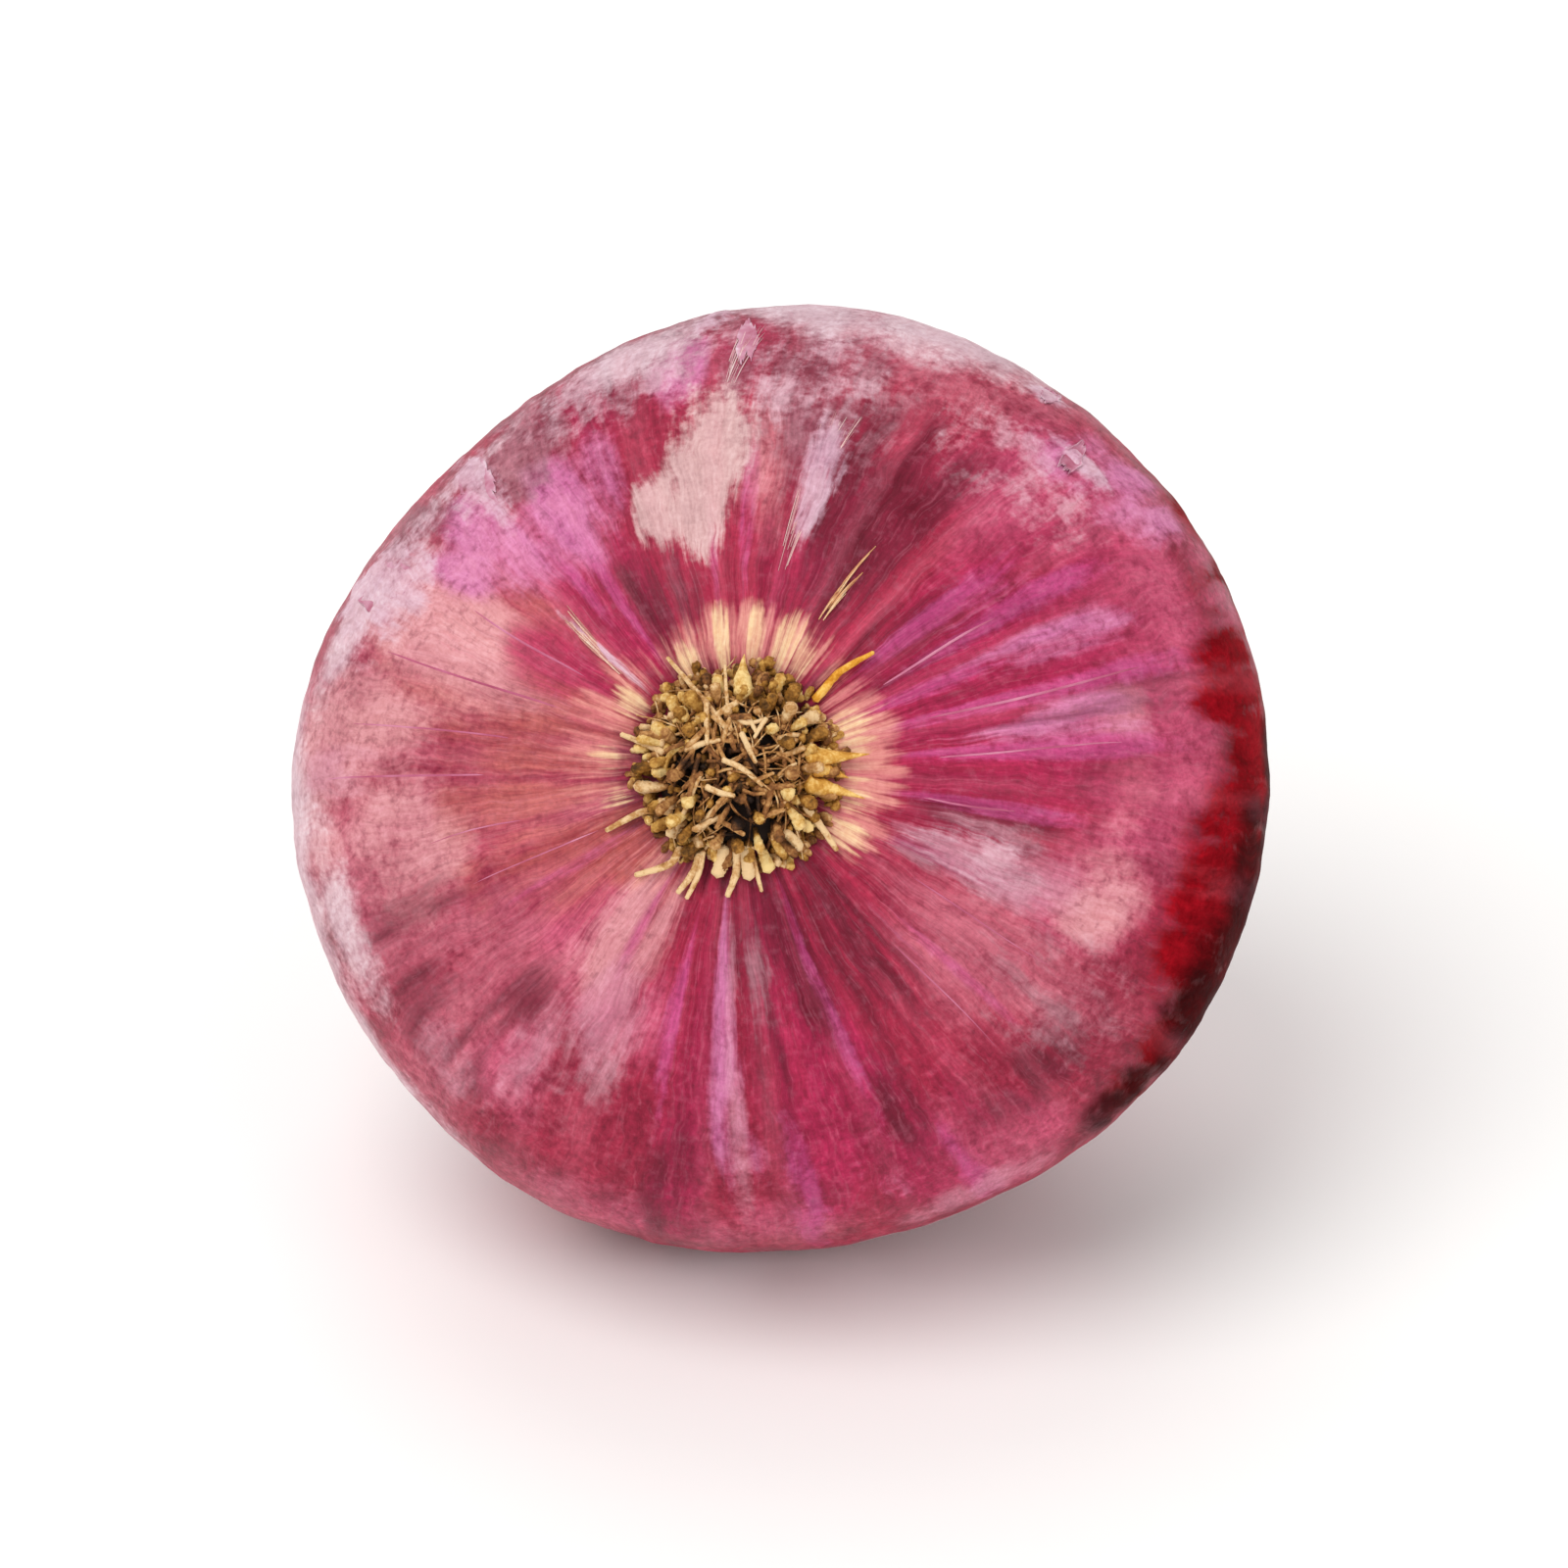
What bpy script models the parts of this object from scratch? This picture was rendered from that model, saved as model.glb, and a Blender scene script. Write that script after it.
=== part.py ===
# Red onion lying on its side, with the root end up and towards the front (-Y).
# Metres, +Z up. The origin is on the small flat spot that the bulb rests on,
# straight below its centre of mass.

import math
import random

import bmesh
import bpy
from mathutils import Vector

MM = 0.001
SEED = 12
NODE_GAP = 0.3 * MM
WELD = 0.001 * MM
SHORTEST_EDGE = 0.0005 * MM

# Colour and roughness of each material.
FINISHES = {
    "onion_skin": ((0.42, 0.06, 0.12), 0.42),
    "dried_root": ((0.50, 0.34, 0.12), 0.85),
    "dried_leaf": ((0.55, 0.36, 0.22), 0.8),
}

# The bulb is measured along its own axis: local +Z points to the root end, and
# azimuths run anticlockwise as seen from there, with 90 degrees at the top.
BULB_RADIUS = 38.0 * MM
ROOT_HALF = 29.5 * MM  # equator to the root end
NECK_HALF = 37.0 * MM  # equator to the neck's end
NECK_RADIUS = 6.0 * MM
ROOT_SHOULDER = 2.3  # 2 is an ellipse, and more is fuller
NECK_SHOULDER = 2.5
NECK_SWEEP = 1.25  # above 1 the shoulder sweeps in hollow to the neck
DIMPLE_DEPTH = 2.4 * MM
DIMPLE_RADIUS = 9.5 * MM
ROOT_SHIFT = -1.5 * MM  # the root sits a little to one side of the axis

# Lopsidedness of the belt: waves round it, share of the radius, azimuth of a crest.
LOBES = ((2, 0.0245, 26.5), (3, 0.009, -32.6), (4, 0.008, -4.5), (5, 0.006, 29.8))

# Low ribs that the fleshy scales press through the skin, from root to neck.
RIB_COUNT = 26
RIB_HEIGHT = 0.28 * MM
RIB_WIDTH = math.radians(3.4)
RIB_JITTER = 0.28  # share of the spacing

BULB_SEGMENTS = 96
BULB_RINGS = 36
NECK_END = math.radians(-89.0)  # the vertex beyond this closes the neck

# Resting pose: turned about X from root up, then about the vertical.
REST_TILT = math.radians(58.0)
REST_TURN = math.radians(-5.0)
FLAT_DEPTH = 1.0 * MM
FILL_SHARE = 0.1  # fuller underside, which brings the flat below the weight
FILL_LATITUDE = math.radians(-50.0)
FILL_AZIMUTH = math.radians(-75.0)
FILL_SPREAD = math.radians(26.0)

# Root tuft: a low basal plate that dried roots grow from.
PLATE_RADIUS = 6.3 * MM
PLATE_HEIGHT = 2.3 * MM
PLATE_STEPS = 20

# A short root: places along it and its girth there, which swells before the tip.
STUB_PLACES = (0.0, 0.45, 0.85, 1.0)
STUB_GIRTHS = (0.8, 0.8, 1.1, 0.6)
STUB_THICKNESS = 0.95 * MM
STUB_LEAN = 0.3
STUB_TILT = math.radians(8.0)
STUB_JITTER = 0.35  # share of the spacing

# Tiers of short roots: how many, where they start, their rise and their length.
STUB_TIERS = (
    (28, 5.3 * MM, math.radians(4.0), 2.6 * MM),
    (21, 4.8 * MM, math.radians(32.0), 2.3 * MM),
    (12, 3.6 * MM, math.radians(55.0), 1.9 * MM),
)

# Broken bits of root that lie crosswise on the plate.
BROKEN_BITS = 42
BITS_RADIUS = 4.8 * MM
BIT_LENGTH = 3.0 * MM
BIT_THICKNESS = 0.62 * MM
BIT_SLOPE = 0.3
BIT_SINK = 0.1 * MM
BIT_LIFT = 0.5 * MM

LONG_ROOT_BEND = math.radians(9.0)

# Longer roots that lie over the skin: azimuth, reach from the middle, thickness.
LONG_ROOTS = (
    (122, 11.0 * MM, 0.65 * MM),
    (98, 9.2 * MM, 0.6 * MM),
    (163, 9.8 * MM, 0.7 * MM),
    (204, 11.0 * MM, 0.65 * MM),
    (227, 11.0 * MM, 0.7 * MM),
    (247, 10.4 * MM, 0.7 * MM),
    (268, 9.6 * MM, 0.7 * MM),
    (327, 9.8 * MM, 0.65 * MM),
    (353, 10.2 * MM, 1.0 * MM),
    (12, 10.4 * MM, 1.1 * MM),
    (45, 14.0 * MM, 0.85 * MM),
)

# Neck: a shrunken core with the torn ends of dried leaves round it.
CORE_RADIUS = 5.4 * MM
CORE_HEIGHT = 5.0 * MM
CORE_STEPS = 18
LEAF_LENGTH = 9.0 * MM
LEAF_THICKNESS = 0.65 * MM
LEAF_CELLS = (3, 5)  # across and along
LEAF_TWIST = math.radians(16.0)
LEAF_TAPER = 0.55
LEAF_RIPPLE = 0.4 * MM
LEAF_RIPPLES = 5.0  # radians along a leaf end
LEAF_TEAR = 0.14  # how far the torn tip runs in and out, share of the length

# Rings of leaf ends: how many, where they stand, their width and their flare.
LEAF_RINGS = (
    (7, 4.7 * MM, 4.3 * MM, 3.4 * MM),
    (6, 3.7 * MM, 3.6 * MM, 1.6 * MM),
    (3, 2.4 * MM, 3.0 * MM, 0.5 * MM),
)


def clear_scene():
    for thing in list(bpy.data.objects):
        bpy.data.objects.remove(thing)


def make_collection(name):
    collection = bpy.data.collections.new(name)
    bpy.context.scene.collection.children.link(collection)
    return collection


def make_material(name):
    colour, roughness = FINISHES[name]
    material = bpy.data.materials.new(name)
    material.use_nodes = True
    shader = material.node_tree.nodes["Principled BSDF"]
    shader.inputs["Base Color"].default_value = (*colour, 1.0)
    shader.inputs["Roughness"].default_value = roughness
    shader.inputs["Metallic"].default_value = 0.0
    return material


def add_object(name, data, collection):
    thing = bpy.data.objects.new(name, data)
    collection.objects.link(thing)
    return thing


def mesh_from(bm, name):
    mesh = bpy.data.meshes.new(name)
    bm.to_mesh(mesh)
    bm.free()
    return mesh


def evaluated_mesh(thing):
    graph = bpy.context.evaluated_depsgraph_get()
    return bpy.data.meshes.new_from_object(thing.evaluated_get(graph))


def polar(radius, azimuth, height):
    return Vector((radius * math.cos(azimuth), radius * math.sin(azimuth), height))


def skin_height(radius):
    # Height of the root end's surface above the equator at a distance from the axis.
    dome = ROOT_HALF * (1 - (radius / BULB_RADIUS) ** 2) ** (1 / ROOT_SHOULDER)
    return dome - DIMPLE_DEPTH * math.exp(-((radius / DIMPLE_RADIUS) ** 2))


def meridian(latitude):
    # Distance from the axis and height along it, from neck (-90) to root (90).
    rise = min(abs(math.sin(latitude)), 1.0)
    if latitude > 0:
        radius = BULB_RADIUS * math.sqrt(1 - rise**ROOT_SHOULDER)
        return radius, skin_height(radius)
    swell = (1 - rise**NECK_SHOULDER) ** NECK_SWEEP
    radius = NECK_RADIUS + (BULB_RADIUS - NECK_RADIUS) * swell
    return radius, -NECK_HALF * rise


def rib_azimuths(draw):
    step = math.tau / RIB_COUNT
    jitter = [draw.uniform(-RIB_JITTER, RIB_JITTER) for _ in range(RIB_COUNT)]
    return [(i + jitter[i]) * step for i in range(RIB_COUNT)]


def rib_relief(azimuth, ribs):
    nearest = min(abs(math.remainder(azimuth - rib, math.tau)) for rib in ribs)
    return RIB_HEIGHT * math.exp(-((nearest / RIB_WIDTH) ** 2))


def skin_point(latitude, azimuth, ribs):
    radius, height = meridian(latitude)
    belt = math.cos(latitude)
    for waves, share, crest in LOBES:
        radius *= 1 + belt * share * math.cos(waves * (azimuth - math.radians(crest)))
    radius += belt * rib_relief(azimuth, ribs)
    shift = ROOT_SHIFT * max(math.sin(latitude), 0.0) ** 2
    point = polar(radius, azimuth, height) + Vector((shift, 0.0, 0.0))
    underside = polar(math.cos(FILL_LATITUDE), FILL_AZIMUTH, math.sin(FILL_LATITUDE))
    fill = math.exp(-((point.angle(underside) / FILL_SPREAD) ** 2))
    return point * (1 + FILL_SHARE * belt * fill)


def make_bulb(collection):
    ribs = rib_azimuths(random.Random(SEED))
    bm = bmesh.new()
    bmesh.ops.create_uvsphere(bm, u_segments=BULB_SEGMENTS, v_segments=BULB_RINGS, radius=1.0)
    for vert in bm.verts:
        latitude = math.asin(max(-1.0, min(1.0, vert.co.z)))
        azimuth = math.atan2(vert.co.y, vert.co.x)
        if latitude < NECK_END:
            vert.co = (0.0, 0.0, -NECK_HALF)
        else:
            vert.co = skin_point(latitude, azimuth, ribs)
    bulb = add_object("bulb", mesh_from(bm, "bulb"), collection)
    bulb.data.shade_smooth()
    bulb.data.materials.append(make_material("onion_skin"))
    return bulb


def centre_of_mass(points, triangles):
    volume = 0.0
    moment = Vector()
    for a, b, c in triangles:
        share = points[a].dot(points[b].cross(points[c])) / 6
        volume += share
        moment += share * (points[a] + points[b] + points[c]) / 4
    return moment / volume


def make_resting_frame(bulb, collection):
    # An empty that carries the onion: it turns it into its resting pose and
    # sets the flat spot at z = 0, below the bulb's centre of mass.
    frame = add_object("resting_frame", None, collection)
    frame.rotation_euler = (REST_TILT, 0.0, REST_TURN)
    turn = frame.rotation_euler.to_matrix()
    points = [turn @ vert.co for vert in bulb.data.vertices]
    bulb.data.calc_loop_triangles()
    triangles = [tuple(face.vertices) for face in bulb.data.loop_triangles]
    weight = centre_of_mass(points, triangles)
    lowest = min(point.z for point in points)
    frame.location = (-weight.x, -weight.y, -lowest - FLAT_DEPTH)
    return frame


def cut_flat_spot(bulb, cutters):
    side = 3 * BULB_RADIUS
    bm = bmesh.new()
    bmesh.ops.create_cube(bm, size=side)
    block = add_object("ground_cutter", mesh_from(bm, "ground_cutter"), cutters)
    block.location.z = -side / 2
    block.hide_render = True
    block.display_type = "WIRE"
    cut = bulb.modifiers.new("flat_spot", "BOOLEAN")
    cut.operation = "DIFFERENCE"
    cut.solver = "EXACT"
    cut.object = block


def turned(name, outline, steps, collection):
    # A solid of revolution about Z from an outline that runs top to bottom at +X.
    mesh = bpy.data.meshes.new(name)
    edges = [(i, i + 1) for i in range(len(outline) - 1)]
    mesh.from_pydata([(radius, 0.0, height) for radius, height in outline], edges, [])
    thing = add_object(name, mesh, collection)
    screw = thing.modifiers.new("turn", "SCREW")
    screw.steps = steps
    screw.render_steps = steps
    screw.use_merge_vertices = True
    screw.merge_threshold = WELD
    return thing


def keep_outer_shell(mesh):
    # Drops the hollows that fusing sealed, any loose scrap and edges of no length.
    bm = bmesh.new()
    bm.from_mesh(mesh)
    bmesh.ops.dissolve_degenerate(bm, dist=SHORTEST_EDGE, edges=bm.edges)
    unvisited = set(bm.faces)
    shells = []
    while unvisited:
        shell = [unvisited.pop()]
        for face in shell:
            beside = {other for edge in face.edges for other in edge.link_faces}
            shell.extend(beside & unvisited)
            unvisited -= beside
        shells.append(shell)
    shells.sort(key=len)
    spare = [face for shell in shells[:-1] for face in shell]
    bmesh.ops.delete(bm, geom=spare, context="FACES")
    bmesh.ops.triangulate(bm, faces=bm.faces)
    bm.to_mesh(mesh)
    bm.free()


def fuse(base, repeats):
    # Joins every object of a collection to the base as one closed body.
    union = base.modifiers.new("fuse", "BOOLEAN")
    union.operation = "UNION"
    union.solver = "EXACT"
    union.operand_type = "COLLECTION"
    union.collection = repeats
    base.data = evaluated_mesh(base)
    base.modifiers.clear()
    keep_outer_shell(base.data)
    for piece in list(repeats.objects):
        bpy.data.objects.remove(piece)
    bpy.data.collections.remove(repeats)


def add_strand(points, thickness, swell, collection):
    # One dried root: a short tube through the points, its girth given by swell.
    curve = bpy.data.curves.new("strand", "CURVE")
    curve.dimensions = "3D"
    curve.bevel_depth = thickness / 2
    curve.bevel_resolution = 0
    curve.render_resolution_u = 0
    curve.use_fill_caps = True
    spline = curve.splines.new("POLY")
    spline.points.add(len(points) - 1)
    for knot, point, girth in zip(spline.points, points, swell):
        knot.co = (*point, 1.0)
        knot.radius = girth
    drawn = add_object("strand", curve, collection)
    bm = bmesh.new()
    bm.from_mesh(evaluated_mesh(drawn))
    bmesh.ops.remove_doubles(bm, verts=bm.verts, dist=WELD)
    bmesh.ops.triangulate(bm, faces=bm.faces)
    bpy.data.objects.remove(drawn)
    add_object("strand", mesh_from(bm, "strand"), collection)


def add_short_roots(draw, collection):
    for count, start, rise, reach in STUB_TIERS:
        for i in range(count):
            jitter = draw.uniform(-STUB_JITTER, STUB_JITTER)
            azimuth = math.tau * (i + jitter) / count
            lift = max(rise + draw.uniform(-STUB_TILT, STUB_TILT), 0.0)
            length = reach * draw.uniform(0.8, 1.2)
            foot = polar(start, azimuth, PLATE_HEIGHT * (0.3 + 0.45 * math.sin(rise)))
            way = polar(math.cos(lift), azimuth, math.sin(lift)) * length
            aside = draw.uniform(-STUB_LEAN, STUB_LEAN) * length
            side = polar(aside, azimuth + math.pi / 2, 0.0)
            points = [foot + way * place + side * place**2 for place in STUB_PLACES]
            girth = STUB_THICKNESS * draw.uniform(0.75, 1.15)
            add_strand(points, girth, STUB_GIRTHS, collection)


def add_broken_bits(draw, collection):
    for _ in range(BROKEN_BITS):
        out = BITS_RADIUS * math.sqrt(draw.random())
        middle = polar(out, draw.uniform(0, math.tau), PLATE_HEIGHT)
        middle.z += draw.uniform(-BIT_SINK, BIT_LIFT)
        way = polar(1.0, draw.uniform(0, math.tau), draw.uniform(-BIT_SLOPE, BIT_SLOPE))
        half = BIT_LENGTH / 2 * draw.uniform(0.6, 1.2)
        points = [middle - way * half, middle + way * half]
        add_strand(points, BIT_THICKNESS * draw.uniform(0.8, 1.2), (1.0, 0.8), collection)


def add_long_roots(base_height, draw, collection):
    # They start inside the plate and then follow the skin just clear of it.
    for degrees, reach, thickness in LONG_ROOTS:
        azimuth = math.radians(degrees)
        bend = draw.uniform(-LONG_ROOT_BEND, LONG_ROOT_BEND)
        points = [polar(PLATE_RADIUS * 0.6, azimuth - bend, PLATE_HEIGHT * 0.45)]
        for share in (0.5, 1.0):
            radius = PLATE_RADIUS + share * (reach - PLATE_RADIUS)
            lie = skin_height(radius) - base_height + NODE_GAP + thickness
            points.append(polar(radius, azimuth - bend * (1 - share), lie))
        add_strand(points, thickness, (1.0, 1.0, 0.5), collection)


def make_root_tuft(collection):
    draw = random.Random(SEED + 1)
    base_height = skin_height(PLATE_RADIUS) + NODE_GAP
    outline = [
        (0.0, PLATE_HEIGHT),
        (0.5 * PLATE_RADIUS, 0.95 * PLATE_HEIGHT),
        (0.85 * PLATE_RADIUS, 0.65 * PLATE_HEIGHT),
        (PLATE_RADIUS, 0.15 * PLATE_HEIGHT),
        (0.95 * PLATE_RADIUS, 0.0),
        (0.0, 0.0),
    ]
    tuft = turned("root_tuft", outline, PLATE_STEPS, collection)
    roots = make_collection("roots")
    add_short_roots(draw, roots)
    add_broken_bits(draw, roots)
    add_long_roots(base_height, draw, roots)
    fuse(tuft, roots)
    tuft.data.materials.append(make_material("dried_root"))
    tuft.location = (ROOT_SHIFT, 0.0, base_height)
    return tuft


def add_leaf_end(azimuth, start, width, flare, draw, collection):
    # A papery strip that stands on the core, narrows and tears at its tip.
    across, along = LEAF_CELLS
    length = LEAF_LENGTH * draw.uniform(0.7, 1.2)
    twist = draw.uniform(-LEAF_TWIST, LEAF_TWIST)
    wave = draw.uniform(0.0, math.tau)
    cup = draw.uniform(-0.3, 0.5) * MM
    tear = [draw.uniform(-LEAF_TEAR, LEAF_TEAR) for _ in range(across + 1)]
    foot = draw.uniform(0.6, 1.4) * MM
    start += draw.uniform(-0.3, 0.3) * MM
    bm = bmesh.new()
    bmesh.ops.create_grid(bm, x_segments=across, y_segments=along, size=1.0)
    for vert in bm.verts:
        aside = vert.co.x
        reach = (vert.co.y + 1) / 2
        column = round((aside + 1) / 2 * across)
        ripple = LEAF_RIPPLE * math.sin(wave + LEAF_RIPPLES * reach) + cup * aside**2
        half = width / 2 * (1 - LEAF_TAPER * reach**1.6)
        angle = azimuth + twist * reach + aside * half / start
        climb = foot + length * (reach + tear[column] * reach**3)
        vert.co = polar(start + flare * reach**2 + ripple * reach, angle, climb)
    bmesh.ops.triangulate(bm, faces=bm.faces)
    strip = add_object("leaf_end", mesh_from(bm, "leaf_end"), collection)
    shell = strip.modifiers.new("paper", "SOLIDIFY")
    shell.thickness = LEAF_THICKNESS
    shell.offset = 0.0
    strip.data = evaluated_mesh(strip)
    strip.modifiers.clear()


def make_neck_leaves(collection):
    draw = random.Random(SEED + 2)
    outline = [
        (0.0, CORE_HEIGHT),
        (0.35 * CORE_RADIUS, 0.96 * CORE_HEIGHT),
        (0.62 * CORE_RADIUS, 0.72 * CORE_HEIGHT),
        (0.82 * CORE_RADIUS, 0.4 * CORE_HEIGHT),
        (CORE_RADIUS, 0.0),
        (0.0, 0.0),
    ]
    neck = turned("neck_leaves", outline, CORE_STEPS, collection)
    leaves = make_collection("leaf_ends")
    for ring, (count, start, width, flare) in enumerate(LEAF_RINGS):
        for i in range(count):
            azimuth = math.tau * (i + 0.5 * ring + draw.uniform(-0.15, 0.15)) / count
            spread = flare * draw.uniform(0.6, 1.4)
            add_leaf_end(azimuth, start, width, spread, draw, leaves)
    fuse(neck, leaves)
    neck.data.materials.append(make_material("dried_leaf"))
    neck.rotation_euler.x = math.pi
    neck.location.z = -NECK_HALF - NODE_GAP
    return neck


def main():
    clear_scene()
    onion = make_collection("red_onion")
    cutters = make_collection("cutters")
    bulb = make_bulb(onion)
    root_tuft = make_root_tuft(onion)
    neck_leaves = make_neck_leaves(onion)
    frame = make_resting_frame(bulb, onion)
    for piece in (bulb, root_tuft, neck_leaves):
        piece.parent = frame
    cut_flat_spot(bulb, cutters)


main()
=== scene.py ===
import math
import random

import bmesh
import bpy
import numpy as np
from mathutils import Euler, Matrix, Vector


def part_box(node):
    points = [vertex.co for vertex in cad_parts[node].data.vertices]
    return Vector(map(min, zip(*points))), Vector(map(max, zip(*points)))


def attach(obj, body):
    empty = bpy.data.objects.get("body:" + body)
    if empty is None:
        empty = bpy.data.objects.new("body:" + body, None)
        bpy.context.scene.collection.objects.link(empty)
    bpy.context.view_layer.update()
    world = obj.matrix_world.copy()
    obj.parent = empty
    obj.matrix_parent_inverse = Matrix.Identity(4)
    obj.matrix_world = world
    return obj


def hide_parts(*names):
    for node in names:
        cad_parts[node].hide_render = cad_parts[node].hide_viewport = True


# Red onion on its side, root end up and towards the front (-Y). Metres, +Z up.

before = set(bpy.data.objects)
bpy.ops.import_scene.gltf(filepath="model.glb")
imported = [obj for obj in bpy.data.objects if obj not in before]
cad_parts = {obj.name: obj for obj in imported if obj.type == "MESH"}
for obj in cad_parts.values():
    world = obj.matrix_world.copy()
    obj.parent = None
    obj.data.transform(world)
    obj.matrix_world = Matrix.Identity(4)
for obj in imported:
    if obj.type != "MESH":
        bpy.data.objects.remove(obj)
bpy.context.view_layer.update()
mm = 0.001
floorGap = 0.05 * mm  # thin pieces on the skin stay this far above the floor

# The bulb's own shape, as in the part: +Z runs along its axis to the root end and
# azimuths run anticlockwise seen from there, with 90 degrees at the top.
bulb = {
    "seed": 12,
    "radius": 38.0 * mm,
    "rootHalf": 29.5 * mm,
    "neckHalf": 37.0 * mm,
    "neckRadius": 6.0 * mm,
    "rootShoulder": 2.3,
    "neckShoulder": 2.5,
    "neckSweep": 1.25,
    "dimpleDepth": 2.4 * mm,
    "dimpleRadius": 9.5 * mm,
    "rootShift": -1.5 * mm,
    # waves round the bulb, their share of its radius, and the azimuth of a crest
    "lobes": ((2, 0.0245, 26.5), (3, 0.009, -32.6), (4, 0.008, -4.5), (5, 0.006, 29.8)),
    "ribCount": 26,
    "ribHeight": 0.28 * mm,
    "ribWidth": 3.4,  # degrees
    "ribJitter": 0.28,  # share of the spacing
    # fuller underneath: by how much, where, and how far round in degrees
    "fillShare": 0.1,
    "fillLatitude": -50.0,
    "fillAzimuth": -75.0,
    "fillSpread": 26.0,
    "tilt": 58.0,  # degrees, of the resting pose
    "turn": -5.0,
    "cadSegments": (96, 36),
    "neckEnd": -89.0,
}


def linearColour(shade):
    # sRGB hex to the linear values that a socket takes
    parts = [int(shade[i:i + 2], 16) / 255 for i in (1, 3, 5)]
    return (*[p / 12.92 if p < 0.04045 else ((p + 0.055) / 1.055) ** 2.4 for p in parts], 1.0)


def addNode(tree, kind, inputs=None, ramp=(), output=0, **settings):
    # inputs: a socket's name or number, with its value or the output that feeds it.
    # What comes back is the node's own output of that name or number.
    node = tree.nodes.new("ShaderNode" + kind)
    for name, value in settings.items():
        setattr(node, name, value)
    for socket, value in (inputs or {}).items():
        if isinstance(value, bpy.types.NodeSocket):
            tree.links.new(value, node.inputs[socket])
        else:
            node.inputs[socket].default_value = value
    for i, (place, shade) in enumerate(ramp):
        stops = node.color_ramp.elements
        stop = stops[i] if i < 2 else stops.new(place)
        stop.position, stop.color = place, linearColour(shade)
    return node.outputs[output]


def newMaterial(name, values):
    material = bpy.data.materials.new(name)
    material.use_nodes = True
    shader = material.node_tree.nodes["Principled BSDF"]
    for socket, value in values.items():
        shader.inputs[socket].default_value = value
    return material, material.node_tree, shader


def driedMaterial(name, roughness, specular, scale, detail):
    # Dried plant tissue, with its mottle: noise of that many marks a metre.
    values = {"Roughness": roughness, "IOR": 1.45, "Specular IOR Level": specular}
    material, tree, shader = newMaterial(name, values)
    solid = addNode(tree, "TexCoord", output="Object")
    mottle = addNode(tree, "TexNoise", {"Vector": solid, "Scale": scale, "Detail": detail})
    return material, tree, shader, solid, mottle


def linkSurface(tree, shader, colour, height=None, strength=0.5, depth=0.1):
    # The colour, and where there is a height, a bump of that depth in mm.
    tree.links.new(colour, shader.inputs["Base Color"])
    if height:
        bump = addNode(tree, "Bump", {"Strength": strength, "Distance": depth * mm, "Height": height})
        tree.links.new(bump, shader.inputs["Normal"])


def addPiece(name, made, material):
    mesh = made
    if isinstance(made, bmesh.types.BMesh):
        mesh = bpy.data.meshes.new(name)
        made.to_mesh(mesh)
        made.free()
    mesh.shade_smooth()
    mesh.materials.append(material)
    piece = bpy.data.objects.new(name, mesh)
    bpy.context.scene.collection.objects.link(piece)
    return piece


def tintedMesh(name="tint"):
    # An empty mesh and the three values that each of its points carries.
    bm = bmesh.new()
    return bm, bm.verts.layers.float_vector.new(name)


def clearOfFloor(bm):
    for vert in bm.verts:
        vert.co.z = max(vert.co.z, floorGap)


def thicken(piece, thickness):
    # A sheet gets its thickness, in mm.
    shell = piece.modifiers.new("paper", "SOLIDIFY")
    shell.thickness = thickness * mm
    shell.offset = 0.0
    return piece


def storeValues(piece, name, kind, values):
    layer = piece.data.attributes.new(name, kind, "POINT")
    socket = "vector" if kind == "FLOAT_VECTOR" else "value"
    layer.data.foreach_set(socket, np.asarray(values, np.float32).ravel())


def flatGrid(first, second, **order):
    # Every pair of two lists' values, as two flat arrays.
    return [grid.ravel() for grid in np.meshgrid(first, second, **order)]


cloudNoise = {"cells": 64, "apart": 7.31, "finer": 2.03, "step": 11.7, "fade": 0.55}
cloudTables = {}


def cloud(points, size, stretch, seed, octaves=3):
    # Cloudy noise from -1 to 1 at points in mm. size is a blob's width in mm, and stretch
    # its length in widths.
    cells = cloudNoise["cells"]
    if seed not in cloudTables:
        cloudTables[seed] = np.random.default_rng(seed).uniform(-1, 1, (cells, cells, cells))
    table = cloudTables[seed]
    spot = points / (size, size, size * stretch) + seed * cloudNoise["apart"]
    total, weight = np.zeros(len(points)), 1.0
    for _ in range(octaves):
        cell = np.floor(spot).astype(int)
        part = spot - cell
        part = part * part * (3 - 2 * part)
        value = 0
        for corner in np.ndindex(2, 2, 2):
            share = np.prod(np.where(corner, part, 1 - part), axis=1)
            value = value + share * table[tuple(((cell + corner) % cells).T)]
        total += value * weight
        spot, weight = spot * cloudNoise["finer"] + cloudNoise["step"], weight * cloudNoise["fade"]
    return np.clip(total, -1, 1)


def polar(radius, azimuth, height):
    return Vector((radius * math.cos(azimuth), radius * math.sin(azimuth), height))


ribDraw = random.Random(bulb["seed"])
ribs = np.array([
    (i + ribDraw.uniform(-bulb["ribJitter"], bulb["ribJitter"])) * math.tau / bulb["ribCount"]
    for i in range(bulb["ribCount"])
])


def skinHeight(radius):
    # Height of the root end's surface above the belt at a distance from the axis.
    reach = np.clip(1 - (radius / bulb["radius"]) ** 2, 0, None)
    dome = bulb["rootHalf"] * reach ** (1 / bulb["rootShoulder"])
    return dome - bulb["dimpleDepth"] * np.exp(-((radius / bulb["dimpleRadius"]) ** 2))


def ribNearness(azimuth):
    turns = np.abs(np.remainder(azimuth[:, None] - ribs + np.pi, math.tau) - np.pi)
    return np.exp(-((turns.min(axis=1) / math.radians(bulb["ribWidth"])) ** 2))


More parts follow.
